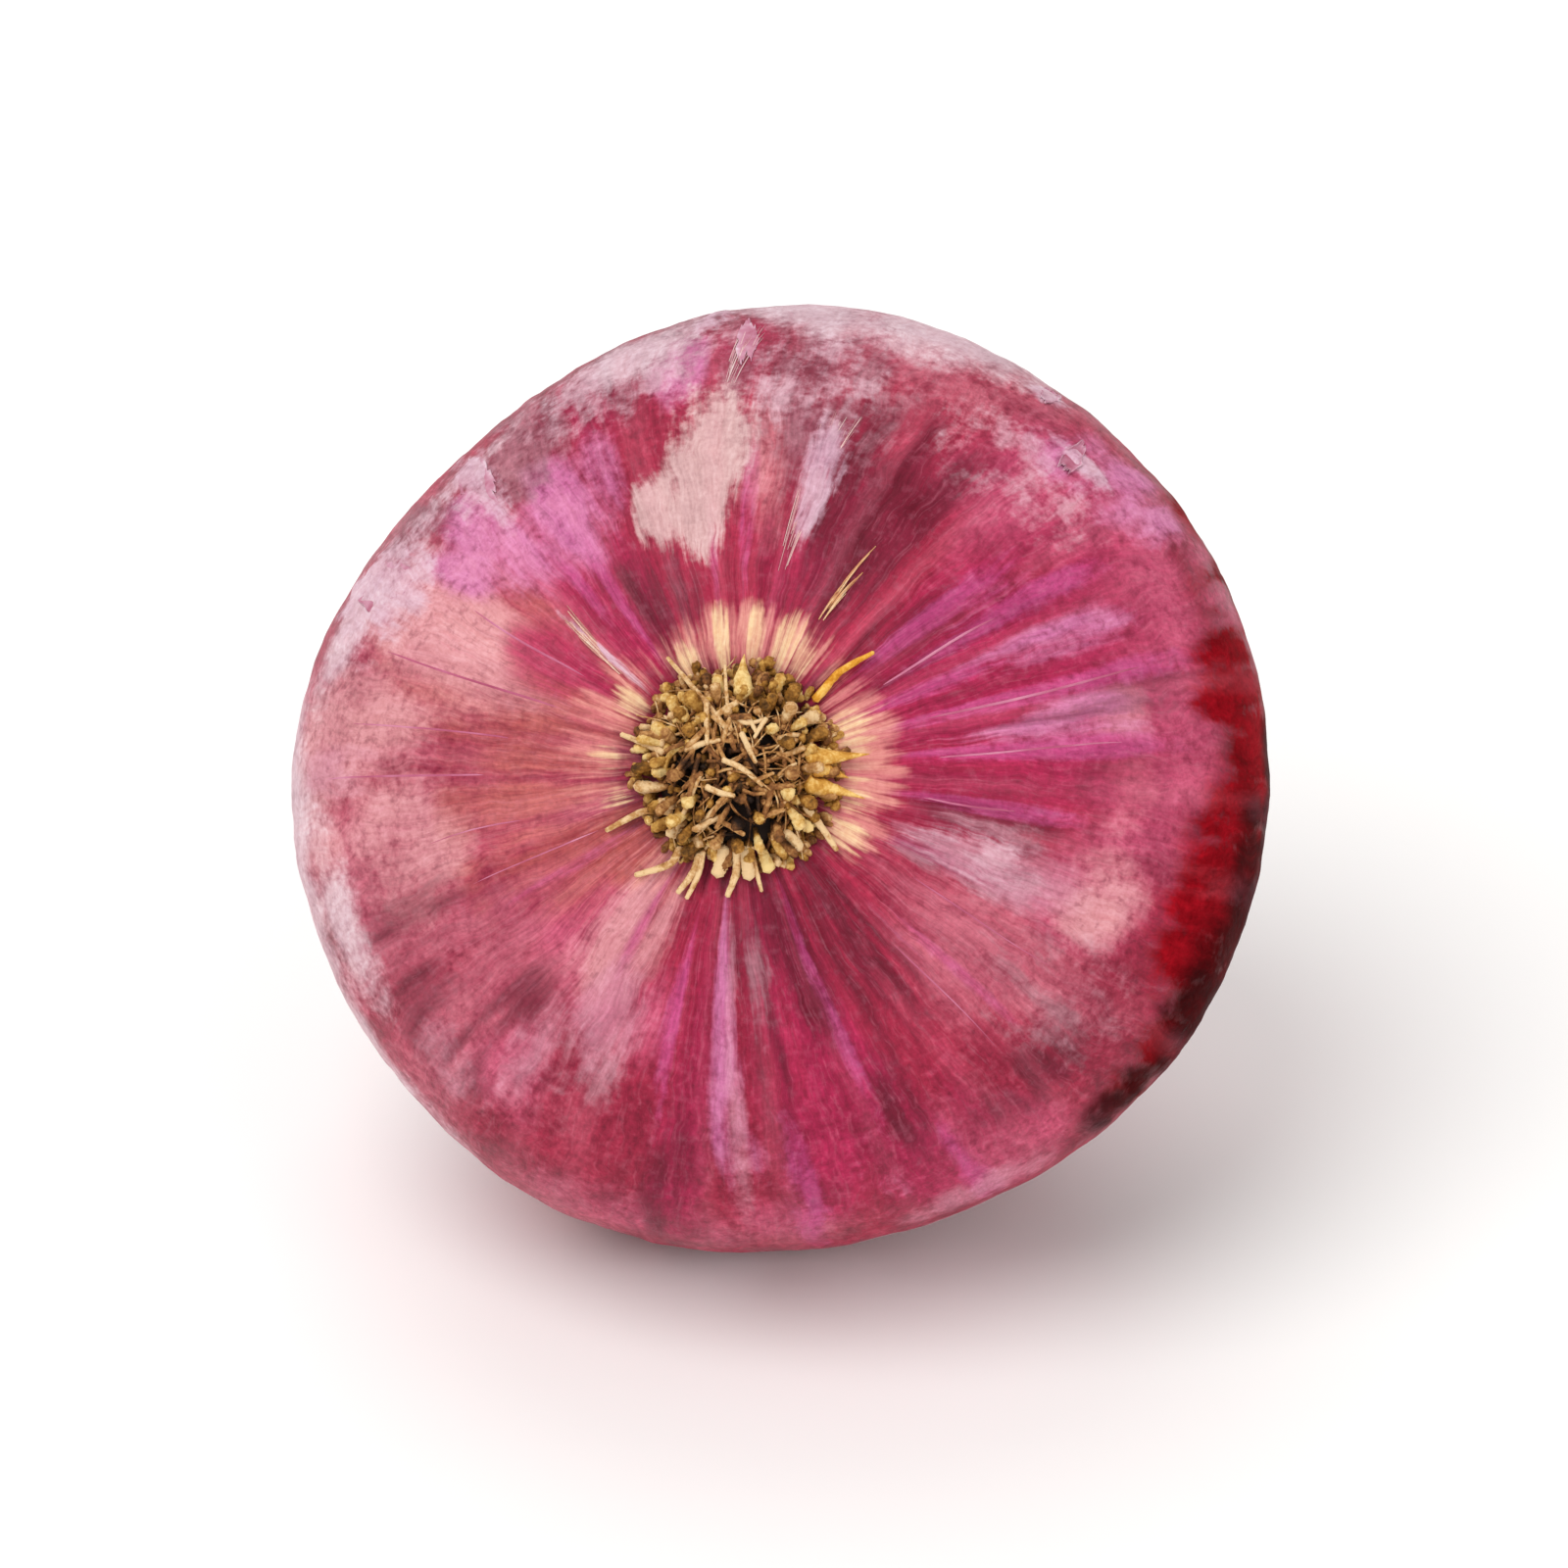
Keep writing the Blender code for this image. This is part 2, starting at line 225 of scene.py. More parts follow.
def skinPoints(latitude, azimuth, ribShare=1.0):
    # The part's own surface at each latitude and azimuth, in the bulb's frame.
    rise = np.abs(np.sin(latitude))
    belt = np.cos(latitude)
    rootSide = bulb["radius"] * np.sqrt(np.clip(1 - rise ** bulb["rootShoulder"], 0, None))
    swell = np.clip(1 - rise ** bulb["neckShoulder"], 0, None) ** bulb["neckSweep"]
    neckSide = bulb["neckRadius"] + (bulb["radius"] - bulb["neckRadius"]) * swell
    radius = np.where(latitude > 0, rootSide, neckSide)
    height = np.where(latitude > 0, skinHeight(rootSide), -bulb["neckHalf"] * rise)
    for waves, share, crest in bulb["lobes"]:
        radius = radius * (1 + belt * share * np.cos(waves * (azimuth - math.radians(crest))))
    radius = radius + belt * ribShare * bulb["ribHeight"] * ribNearness(azimuth)
    shift = bulb["rootShift"] * np.clip(np.sin(latitude), 0, None) ** 2
    points = np.stack([radius * np.cos(azimuth) + shift, radius * np.sin(azimuth), height], axis=1)
    low, turn = math.radians(bulb["fillLatitude"]), math.radians(bulb["fillAzimuth"])
    under = np.array([math.cos(low) * math.cos(turn), math.cos(low) * math.sin(turn), math.sin(low)])
    cosine = points @ under / np.linalg.norm(points, axis=1)
    angle = np.arccos(np.clip(cosine, -1, 1))
    fill = np.exp(-((angle / math.radians(bulb["fillSpread"])) ** 2))
    return points * (1 + bulb["fillShare"] * belt * fill)[:, None]


def restingPose():
    # The part's resting pose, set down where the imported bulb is.
    turned = Euler((math.radians(bulb["tilt"]), 0, math.radians(bulb["turn"]))).to_matrix()
    segments, rings = bulb["cadSegments"]
    latitudes = np.radians(np.linspace(-90, 90, rings + 1)[1:])
    azimuths = np.arange(segments) * math.tau / segments
    points = skinPoints(*flatGrid(latitudes, azimuths)) @ np.array(turned).T
    low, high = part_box("bulb")
    place = [
        (low.x + high.x - points[:, 0].min() - points[:, 0].max()) / 2,
        (low.y + high.y - points[:, 1].min() - points[:, 1].max()) / 2,
        high.z - points[:, 2].max(),
    ]
    return Matrix.Translation(place) @ turned.to_4x4()


pose = restingPose()
print("resting pose", [round(v / mm, 2) for v in pose.translation])

onionSkin = {
    "segments": 600,
    "rings": 164,
    "rootEnd": 89.4,  # latitude of the last ring, under the tuft
    # reliefs: depth in mm, then their cloud's size in mm, stretch, seed and octaves
    "wrinkle": (0.10, 3.2, 8, 21, 3),
    "fibre": (0.035, 0.9, 12, 22, 2),
    "rootPleat": (0.20, 3.4, 10, 23, 2),  # where the skin gathers to the root
    "neckPleat": (0.55, 7.0, 6, 24, 2),  # where it gathers to the neck
    "rootPleatReach": (73, 9),  # degrees: where they are deepest, and how far they reach
    "neckPleatReach": (45, 35),  # degrees below the belt: where they start, and the way to full depth
    "ribShare": 0.2,  # of the part's rib height: the rest of a rib lies under the dry skin
    "layer": 0.12,  # mm, thickness of a torn outer layer
    "layerEdge": (0.45, 6),  # the mask where it starts, and how steep its edge is
    "slant": 0.006,  # radians a mm, of the cells' marks against the fibres
    "waver": (0.17, (3.5, 3.5, 8.0)),  # of the fibres: waves a mm, and how far in mm
    "grain": (0.39, 0.61),  # the noise between the two shades of a state
    "tatter": (0.3, 0.7),  # the noise that frays the edges of the states
    "shades": ("#7E1832", "#B43250"),  # under all the states: between the fibres and on them
    "ribShade": "#D88698",
    "ribPaler": 0.18,
    "gamma": 1.05,
    "specular": (0.14, 0.0),  # plain skin, and deep red skin with its painted shade and shadow
    "roughness": (0.38, 0.6),
    "specksUnder": "deepRed",  # the fine specks are drawn before this state
    # noise of the skin: what it lies along, its marks' width and length in mm, detail
    "patterns": {
        "broad": ("place", 6.0, 34.0, 4.0),
        "middle": ("place", 2.4, 18.0, 4.0),
        "fine": ("place", 0.9, 7.0, 4.0),
        "fibre": ("place", 0.42, 4.5, 2.0),  # the fibres lie about 0.4 mm apart
        "hair": ("place", 0.5, 14.0, 3.0),
        "hatch": ("slant", 0.35, 2.4, 2.0),  # slanting marks of the skin's cells
        "blotch": ("solid", 4.5, 4.5, 5.0),
        "speck": ("solid", 0.9, 0.9, 4.0),
        "grit": ("solid", 0.35, 0.35, 2.0),
    },
    # hairlines and specks: pattern, where they start and are full, strength, shade
    "specks": (
        ("hair", 0.54, 0.78, 0.22, "#D88498"), ("hair", 0.46, 0.24, 0.26, "#741E34"),
        ("speck", 0.52, 0.80, 0.14, "#D894A8"), ("speck", 0.46, 0.30, 0.32, "#6C1C32"),
    ),
    # over everything: pattern, its darkest and lightest grey, strength
    "overlays": (("fibre", 0.28, 0.72, 0.26), ("hatch", 0.3, 0.7, 0.2), ("grit", 0.3, 0.7, 0.26)),
}

# The states of the skin, in the order that they lie over each other. shades: on the
# fibres and between them. edge: soft width, share covered, how far fine fibres fray it,
# and the size in mm, stretch and amount of the larger bites out of it. spots: azimuth,
# latitude (90 at the root), half the width and half the length in degrees, strength.
skinStates = {
    "rose": {
        "shades": ("#CC7484", "#A24058"), "edge": (0.50, 0.9, 0.5, 6.0, 2.0, 1.0),
        "spots": (
            (185, 44, 44, 34, 1.0), (160, 38, 16, 22, 0.9), (222, 62, 14, 16, 0.7), (328, 52, 14, 18, 0.8),
            (70, 22, 26, 14, 0.6), (250, 14, 34, 12, 0.6), (210, -30, 40, 26, 0.9), (90, -25, 36, 22, 0.8),
            (330, -35, 30, 22, 0.8), (20, -50, 20, 16, 0.7),
        ),
    },
    "pink": {
        "shades": ("#D46484", "#B04062"), "edge": (0.50, 0.85, 0.4, 4.0, 3.0, 0.7),
        "spots": (
            (20, 40, 22, 13, 1.0), (45, 38, 14, 16, 0.9), (20, 14, 14, 8, 0.6), (0, 43, 14, 9, 0.9),
            (342, 46, 10, 8, 0.8), (302, 24, 10, 14, 0.9), (225, 66, 20, 7, 0.8), (246, 60, 10, 7, 0.8),
            (140, 54, 16, 16, 0.7), (232, 40, 7, 9, 0.6), (262, 22, 22, 8, 0.5), (40, -20, 26, 20, 0.7),
            (250, -35, 24, 22, 0.7),
        ),
    },
    "salmon": {
        "shades": ("#C87264", "#9C4244"), "edge": (0.50, 0.75, 0.6, 4.0, 3.0, 1.2),
        "spots": (
            (178, 69, 36, 10, 0.9), (153, 60, 9, 18, 0.8), (165, 46, 10, 14, 0.6), (186, 56, 22, 3, 0.5),
            (216, 76, 28, 4, 0.8), (200, -62, 30, 12, 0.7), (80, -66, 24, 10, 0.7), (200, 76, 12, 4, 0.7),
        ),
    },
    "blush": {
        "shades": ("#E6ACAE", "#CA868C"), "edge": (0.50, 0.8, 0.6, 5.0, 3.0, 1.2),
        "spots": (
            (158, 46, 12, 18, 0.9), (172, 36, 12, 14, 0.8), (186, 26, 16, 8, 0.7), (342, 44, 7, 6, 0.8),
            (5, 45, 10, 5, 0.6), (236, 70, 12, 9, 0.7), (140, 42, 8, 8, 0.6), (90, 52, 9, 11, 0.85),
            (192, 47, 12, 9, 0.7), (75, -20, 24, 12, 0.5), (240, -25, 20, 14, 0.5),
        ),
    },
    "magenta": {
        "shades": ("#BC2C5C", "#821636"), "edge": (0.45, 0.9, 0.6, 4.0, 4.0, 1.0),
        "spots": (
            (24, 58, 20, 18, 1.0), (4, 60, 10, 18, 0.9), (38, 46, 7, 14, 0.6), (283, 52, 8, 24, 0.9),
            (294, 38, 7, 26, 0.8), (262, 46, 5, 28, 0.7), (306, 44, 5, 18, 0.5), (112, 30, 18, 12, 0.8),
            (350, 66, 5, 8, 0.6), (132, 66, 14, 8, 1.0), (149, 66, 11, 7, 0.8), (80, 66, 10, 6, 0.6),
            (150, -30, 16, 26, 0.8), (270, -40, 14, 24, 0.7), (40, -30, 16, 22, 0.8),
        ),
    },
    "violet": {
        "shades": ("#DA8CB2", "#BE6496"), "edge": (0.50, 0.9, 0.7, 3.0, 3.0, 1.2),
        "spots": (
            (131, 50, 12, 9, 1.0), (143, 42, 9, 9, 0.8), (119, 47, 5, 9, 0.9), (104, 33, 4, 8, 0.8),
            (41, 22, 7, 9, 0.8), (46, 31, 7, 5, 0.6), (268, 58, 2.4, 16, 0.8), (271, 42, 2.6, 12, 0.7),
            (290, 30, 3, 10, 0.5), (12, 52, 4, 12, 0.6), (26, 50, 3, 14, 0.5), (180, -20, 8, 12, 0.6),
            (10, -30, 7, 14, 0.6),
        ),
    },
    # dark crimson rays of the skin, and round the root tuft a ring of painted shade
    "dark": {
        "shades": ("#741E36", "#4A0E1A"), "edge": (0.60, 0.80, 1.2, 1.6, 7.0, 1.5),
        "spots": (
            (0, 86, 400, 7.0, 1.0), (66, 56, 13, 14, 0.8), (300, 67, 12, 12, 0.9), (280, 72, 10, 7, 0.8),
            (297, 48, 3, 18, 0.7), (278, 46, 3, 20, 0.6), (222, 38, 12, 7, 0.6), (228, 50, 4, 7, 0.7),
            (205, 44, 5, 9, 0.5), (118, 69, 10, 6, 0.7), (352, 62, 5, 7, 0.7), (15, 45, 3, 20, 0.5),
            (34, 60, 3, 14, 0.5), (258, 30, 5, 16, 0.5), (112, 30, 12, 8, 0.6), (316, 36, 10, 5, 0.5),
            (44, 66, 6, 7, 0.7), (180, 78.5, 34, 3.0, 0.7), (125, 78, 14, 3.0, 0.8),
            (48, 78.5, 8, 3.0, 0.8), (278, 79, 42, 2.5, 0.6),
            *((turn + turn % 9, -40, 2.8, 28, 0.7) for turn in range(15, 360, 29)),  # far side
        ),
    },
    "ray": {
        "shades": ("#CE5E96", "#AE3870"), "edge": (0.50, 0.7, 0.9, 1.8, 6.0, 1.2),
        "spots": (
            (34, 58, 2.2, 16, 0.9), (18, 54, 2.0, 20, 0.8), (7, 54, 1.8, 18, 0.8), (41, 60, 3.5, 11, 0.7),
            (354, 62, 1.6, 10, 0.7), (26, 68, 2.0, 8, 0.7), (338, 58, 3.0, 12, 0.6),
            (318, 60, 2.0, 12, 0.6), (292, 60, 1.5, 16, 0.7), (256, 60, 1.8, 14, 0.7),
            (240, 70, 2.0, 7, 0.7), (212, 68, 2.0, 8, 0.6), (128, 66, 1.5, 8, 0.8), (134, 62, 1.5, 8, 0.7),
            (92, 62, 1.6, 9, 0.7), (100, 66, 1.2, 7, 0.7), (278, 28, 2.4, 16, 0.6), (300, 20, 2.0, 14, 0.5),
            *((turn + turn % 7, -46, 2.2, 26, 0.8) for turn in range(4, 360, 22)),  # far side
        ),
    },
    "dust": {
        "shades": ("#B2848E", "#7E4454"), "edge": (0.50, 0.7, 1.2, 2.6, 2.0, 1.3),
        "spots": (
            (342, 62, 9, 8, 0.7), (84, 40, 12, 16, 0.8), (130, 33, 7, 9, 1.0), (147, 26, 8, 9, 0.8),
            (277, 66, 4, 7, 0.8), (100, 16, 34, 8, 0.7), (240, 48, 8, 8, 0.5), (326, 44, 8, 14, 0.5),
            (156, 30, 4, 4, 0.9), (120, -50, 14, 12, 0.6), (300, -20, 14, 10, 0.5),
        ),
    },
    # the skin's own deep red by the right-hand rim, darkened there with painted shade
    "deepRed": {
        "shades": ("#A2101E", "#5E040A"), "edge": (0.34, 0.97, 0.7, 1.8, 6.0, 0.8),
        "spots": (
            (10, 16, 16, 13, 1.0), (346, 24, 13, 11, 1.0), (30, 0, 14, 12, 0.8), (352, 4, 28, 18, 1.0),
            (330, 13, 12, 11, 0.9), (0, -14, 26, 14, 0.8), (356, 12, 22, 12, 1.0),
        ),
    },
    # painted shadow, near black, along the lower right-hand rim
    "paintedShadow": {
        "shades": ("#440306", "#1C0102"), "edge": (0.45, 0.93, 0.7, 2.4, 5.0, 0.8),
        "spots": (
            (338, 8, 17, 14, 1.0), (320, 12, 8, 9, 0.9), (0, 0, 14, 9, 0.8), (354, 15, 8, 6, 0.6),
            (325, -14, 16, 12, 0.7),
        ),
    },
    # a whitish bloom of the skin, and along the rims a painted reflection
    "bloomAndRimReflection": {
        "shades": ("#EAD4DA", "#CAA6B2"), "edge": (0.50, 0.8, 0.8, 5.0, 2.0, 0.9),
        "spots": (
            (80, 11, 18, 14, 1.0), (110, 23, 15, 8, 0.8), (162, 26, 13, 6, 0.9), (192, 14, 16, 12, 0.9),
            (216, 10, 16, 8, 0.6), (142, 26, 12, 3, 0.5), (200, 28, 12, 6, 0.8), (270, -5, 34, 6, 0.8),
            (120, -20, 26, 8, 0.5), (200, -30, 10, 12, 0.5), (40, -52, 12, 10, 0.6),
        ),
    },
    "bare": {
        "shades": ("#DCBAB8", "#C09A9A"), "edge": (0.30, 0.85, 1.0, 2.2, 2.0, 0.6),
        "spots": (
            (110, 58, 7, 5, 1.0), (103, 57, 6, 8, 1.0), (99, 49, 6, 9, 0.8), (230, -45, 9, 10, 0.8),
            (60, -58, 7, 8, 0.8),
        ),
    },
    "straw": {
        "shades": ("#D6AE78", "#A97B4C"), "edge": (0.35, 0.85, 0.9, 2.4, 6.0, 1.0),
        "spots": (
            (0, -90, 400, 17, 0.9), (40, -70, 9, 14, 0.6), (130, -66, 7, 16, 0.55), (215, -70, 8, 14, 0.5),
            (300, -66, 8, 16, 0.55),
        ),
    },
    "peach": {
        "shades": ("#E8AC9A", "#CA6270"), "edge": (0.50, 0.85, 0.8, 1.3, 8.0, 1.4),
        "spots": (
            (8, 76.5, 30, 3.6, 1.0), (338, 76.5, 14, 3.4, 0.8), (88, 75.5, 34, 3.2, 0.8),
            (170, 74, 28, 3.4, 0.6), (230, 76, 14, 3, 0.5),
        ),
    },
    "cream": {
        "shades": ("#F2D8A8", "#E0A88E"), "edge": (0.60, 0.9, 1.2, 1.0, 10.0, 1.5),
        "spots": (
            (100, 75.6, 2.8, 3.2, 1.0), (86, 75.6, 3.0, 2.8, 0.9), (71, 75.6, 5.5, 3.0, 1.0),
            (62, 76.5, 3, 2.0, 0.7), (117, 77, 4, 1.8, 0.8), (20, 77.2, 9, 2.0, 0.9),
            (352, 77.5, 8, 1.8, 0.8), (331, 76.5, 6, 2.2, 0.9), (178, 75.5, 5, 1.6, 0.5),
            (151, 76, 5, 1.8, 0.7), (196, 76.5, 5, 1.4, 0.5),
        ),
    },
    "flake": {
        "shades": ("#E0C2CE", "#C498AC"), "edge": (0.42, 0.78, 1.1, 1.8, 3.0, 1.2),
        "spots": (
            (138, 31, 4, 12, 0.9), (156, 34, 6, 7, 0.8), (158, 24, 6, 8, 0.8), (57, 16, 2.5, 4, 0.9),
            (48, 28, 5, 2, 0.7), (142, 69, 1.6, 6, 1.0), (79, 52, 3.2, 10, 0.75), (100, 18, 2.5, 7, 0.8),
            (75, -40, 4, 8, 0.8), (195, -52, 4, 9, 0.8), (310, -56, 5, 7, 0.7), (250, -62, 4, 6, 0.7),
        ),
    },
    # chalky pale marks; the one low on the right, at azimuth 300, is painted light
    "chalkAndPaintedLight": {
        "shades": ("#D89CAC", "#C07C90"), "edge": (0.50, 0.6, 0.8, 2.5, 2.5, 1.0),
        "spots": (
            (233, 46, 4, 9, 0.9), (245, 58, 7, 7, 0.9), (226, 34, 6, 6, 0.7), (342, 60, 6, 10, 0.9),
            (300, 14, 9, 6, 0.8), (270, 50, 1.6, 20, 0.6), (182, 34, 3, 12, 0.6),
        ),
    },
    "frost": {
        "shades": ("#DEBCC6", "#CCA0AE"), "edge": (0.50, 0.55, 1.6, 2.0, 1.2, 1.0),
        "spots": (
            (112, 30, 12, 9, 0.6), (84, 38, 8, 9, 0.6), (52, 38, 12, 8, 0.4), (342, 62, 6, 7, 0.3),
            (155, 30, 12, 10, 0.6), (200, -20, 18, 16, 0.3), (90, -30, 16, 12, 0.3),
            (320, -30, 16, 14, 0.3),
        ),
    },
}


def stateMask(kind, latitude, azimuth, place):
    # 0.5 is a spot's edge; clouds stretched along the fibres bite into it.
    best = np.zeros(len(latitude))
    for turn, height, halfWidth, halfLength, strength in skinStates[kind]["spots"]:
        aside = np.remainder(azimuth - math.radians(turn) + np.pi, math.tau) - np.pi
        aside = np.degrees(aside) / halfWidth
        along = (np.degrees(latitude) - height) / halfLength
        best = np.maximum(best, strength * np.clip(1.5 - np.hypot(aside, along), 0, 1))
    size, stretch, amount = skinStates[kind]["edge"][3:]
    bites = cloud(place, size, stretch, list(skinStates).index(kind) + 1, 2)
    return np.clip(best + bites * amount * 0.5 * np.minimum(best * 3, 1), 0, 1)


def placeOnSkin(latitude, azimuth):
    # In mm: round the belt, and along the meridian from the root.
    around = bulb["radius"] / mm
    along = (math.pi / 2 - latitude) * around
    return np.stack([around * np.cos(azimuth), around * np.sin(azimuth), along], axis=1)


def finishedSkin(latitude, azimuth, lift=0.0):
    # The skin with its wrinkles and pleats, and a lift in mm, in the bulb's frame.
    points = skinPoints(latitude, azimuth, onionSkin["ribShare"])
    place = placeOnSkin(latitude, azimuth)
    degrees = np.degrees(latitude)
    deepest, reach = onionSkin["rootPleatReach"]
    nearRoot = np.exp(-(((degrees - deepest) / reach) ** 2))
    start, way = onionSkin["neckPleatReach"]
    nearNeck = np.clip((-degrees - start) / way, 0, 1)
    relief = 0
    for kind, share in (("wrinkle", 1), ("fibre", 1), ("rootPleat", nearRoot), ("neckPleat", nearNeck)):
        depth, *shape = onionSkin[kind]
        relief = relief + depth * share * cloud(place, *shape)
    outward = points / np.linalg.norm(points, axis=1)[:, None]
    return points + outward * ((relief + lift) * mm)[:, None]


def skinSpot(azimuth, latitude, lift=0.0):
    # One place on the skin, from degrees, as a vector.
    angles = np.radians([latitude]), np.radians([azimuth])
    return Vector(finishedSkin(*angles, lift)[0])


def makeSkin(material):
    # Rings from the neck's end to just short of the root, and a point to close each end.
    rings, segments = onionSkin["rings"], onionSkin["segments"]
    levels = np.radians(np.linspace(bulb["neckEnd"], onionSkin["rootEnd"], rings))
    turns = np.arange(segments) * math.tau / segments
    latitude, azimuth = flatGrid(levels, turns, indexing="ij")
    latitude = np.append(latitude, [levels[0], levels[-1]])
    azimuth = np.append(azimuth, [0.0, 0.0])
    place = placeOnSkin(latitude, azimuth)
    masks = {kind: stateMask(kind, latitude, azimuth, place) for kind in skinStates}
    start, steep = onionSkin["layerEdge"]
    flake, bare = [np.clip((masks[kind] - start) * steep, 0, 1) for kind in ("flake", "bare")]
    points = finishedSkin(latitude, azimuth, onionSkin["layer"] * (flake - bare))
    count = rings * segments
    for end, ring in ((count, slice(0, segments)), (count + 1, slice(count - segments, count))):
        points[end] = points[ring].mean(axis=0)
    points = points @ np.array(pose.to_3x3()).T + np.array(pose.translation)
    points[:, 2] = np.maximum(points[:, 2], 0)  # the flat spot it rests on

    faces = [
        (low + i, low + (i + 1) % segments, low + segments + (i + 1) % segments, low + segments + i)
        for low in range(0, count - segments, segments) for i in range(segments)
    ]
    last = count - segments
    faces += [(count, (i + 1) % segments, i) for i in range(segments)]
    faces += [(count + 1, last + i, last + (i + 1) % segments) for i in range(segments)]
    mesh = bpy.data.meshes.new("onionSkin")
    mesh.from_pydata(points.tolist(), [], faces)
    skin = addPiece("onionSkin", mesh, material)

    slanting = placeOnSkin(latitude, azimuth + onionSkin["slant"] * place[:, 2])
    storeValues(skin, "skinPlace", "FLOAT_VECTOR", place)
    storeValues(skin, "skinSlant", "FLOAT_VECTOR", slanting)
    storeValues(skin, "rib", "FLOAT", ribNearness(azimuth))
    storeValues(skin, "poleward", "FLOAT", np.abs(np.degrees(latitude)) / 90)
    for kind, values in masks.items():
        storeValues(skin, kind, "FLOAT", values)
    return skin


def driedSkinMaterial():
    # Dried onion skin, satin. To the eye: crimson to violet, paler along the fibres that
    # run from root to neck, whitish where a dusty outer film is left, dull where it flakes.
    # Painted into it: a reflection that whitens the rims, shade round the root tuft and by
    # the right-hand rim, and a near black shadow low on that rim.
    material, tree, shader = newMaterial("onionSkinDriedSatin", {"IOR": 1.45})
    place, slant = [
        addNode(tree, "Attribute", attribute_name=name, output="Vector")
        for name in ("skinPlace", "skinSlant")
    ]
    poleward, rib = [
        addNode(tree, "Attribute", attribute_name=name, output="Fac") for name in ("poleward", "rib")
    ]
    solid = addNode(tree, "TexCoord", output="Object")
    solid = addNode(tree, "VectorMath", {0: solid, 3: 1 / mm}, operation="SCALE")
    waves, reach = onionSkin["waver"]
    swirl = addNode(tree, "TexNoise", {"Vector": solid, "Scale": waves, "Detail": 3.0}, output="Color")
    sources = {"solid": solid}
    for name, ideal in (("place", place), ("slant", slant)):
        inputs = {0: swirl, 1: reach, 2: ideal}
        sources[name] = addNode(tree, "VectorMath", inputs, operation="MULTIPLY_ADD")
    patterns = {}
    for name, (source, width, length, detail) in onionSkin["patterns"].items():
        inputs = {0: sources[source], 1: (1 / width, 1 / width, 1 / length)}
        shaped = addNode(tree, "VectorMath", inputs, operation="MULTIPLY")
        inputs = {"Vector": shaped, "Scale": 1.0, "Detail": detail, "Roughness": 0.6}
        patterns[name] = addNode(tree, "TexNoise", inputs)

    # Streaks near the root and the neck give way to a mottle round the belt.
    sums = []
    for parts in (
        (("broad", 0.35), ("middle", 0.3), ("blotch", 0.2), ("fine", 0.15)),
        (("blotch", 0.4), ("middle", 0.2), ("broad", 0.15), ("speck", 0.25)),
        (("fine", 0.45), ("hair", 0.35), ("speck", 0.2)),
        (("speck", 0.4), ("blotch", 0.3), ("fine", 0.3)),
    ):
        total = 0.0
        for name, weight in parts:
            inputs = {0: patterns[name], 1: weight, 2: total}
            total = addNode(tree, "Math", inputs, operation="MULTIPLY_ADD")
        sums.append(total)
    near = addNode(tree, "MapRange", {0: poleward, 1: 0.4, 2: 0.8}, interpolation_type="SMOOTHSTEP")
    grain, tatter = [
        addNode(tree, "Mix", {0: near, 2: away, 3: close})
        for close, away in (sums[:2], sums[2:])
    ]
    grain, tatter = [
        addNode(tree, "MapRange", {0: total, 1: onionSkin[kind][0], 2: onionSkin[kind][1]})
        for total, kind in ((grain, "grain"), (tatter, "tatter"))
    ]

    # What lies over what: each layer's share and shade.
    layers, shares = [], {}
    for kind, state in skinStates.items():
        if kind == onionSkin["specksUnder"]:
            for name, low, high, strength, shade in onionSkin["specks"]:
                share = addNode(tree, "MapRange", {0: patterns[name], 1: low, 2: high, 4: strength})
                layers.append((share, linearColour(shade)))
        light, deep = [linearColour(shade) for shade in state["shades"]]
        soft, cover, fray = state["edge"][:3]
        mask = addNode(tree, "Attribute", attribute_name=kind, output="Fac")
        frayed = addNode(tree, "Math", {0: tatter, 1: fray, 2: mask}, operation="MULTIPLY_ADD")
        inputs = {0: frayed, 1: 0.5 + fray / 2 - soft, 2: 0.5 + fray / 2 + soft, 4: cover}
        share = addNode(tree, "MapRange", inputs, interpolation_type="SMOOTHSTEP")
        present = addNode(tree, "MapRange", {0: mask, 1: 0.02, 2: 0.2})
        share = addNode(tree, "Math", {0: share, 1: present}, operation="MULTIPLY")
        shade = addNode(tree, "Mix", {0: grain, 6: deep, 7: light}, data_type="RGBA", output=2)
        layers.append((share, shade))
        shares[kind] = share

    # Ribs show a little paler, in broken lines.
    broken = addNode(tree, "Math", {0: rib, 1: patterns["middle"]}, operation="MULTIPLY")
    paler = addNode(tree, "MapRange", {0: broken, 1: 0.3, 2: 0.85, 4: onionSkin["ribPaler"]})
    layers.append((paler, linearColour(onionSkin["ribShade"])))

    deep, light = [linearColour(shade) for shade in onionSkin["shades"]]
    colour = addNode(tree, "Mix", {0: grain, 6: deep, 7: light}, data_type="RGBA", output=2)
    for share, shade in layers:
        colour = addNode(tree, "Mix", {0: share, 6: colour, 7: shade}, data_type="RGBA", output=2)

    # Fine fibres, slanting marks and grit over everything.
    for name, low, high, strength in onionSkin["overlays"]:
        shade = addNode(tree, "MapRange", {0: patterns[name], 1: 0.3, 2: 0.7, 3: low, 4: high})
        inputs = {0: strength, 6: colour, 7: shade}
        colour = addNode(tree, "Mix", inputs, data_type="RGBA", blend_type="OVERLAY", output=2)
    colour = addNode(tree, "Gamma", {"Color": colour, "Gamma": onionSkin["gamma"]})
    height = patterns["fibre"]
    for name, weight in (("fine", 0.6), ("hatch", 0.35), ("blotch", 0.8)):
        inputs = {0: patterns[name], 1: weight, 2: height}
        height = addNode(tree, "Math", inputs, operation="MULTIPLY_ADD")
    linkSurface(tree, shader, colour, height, 0.5, 0.12)

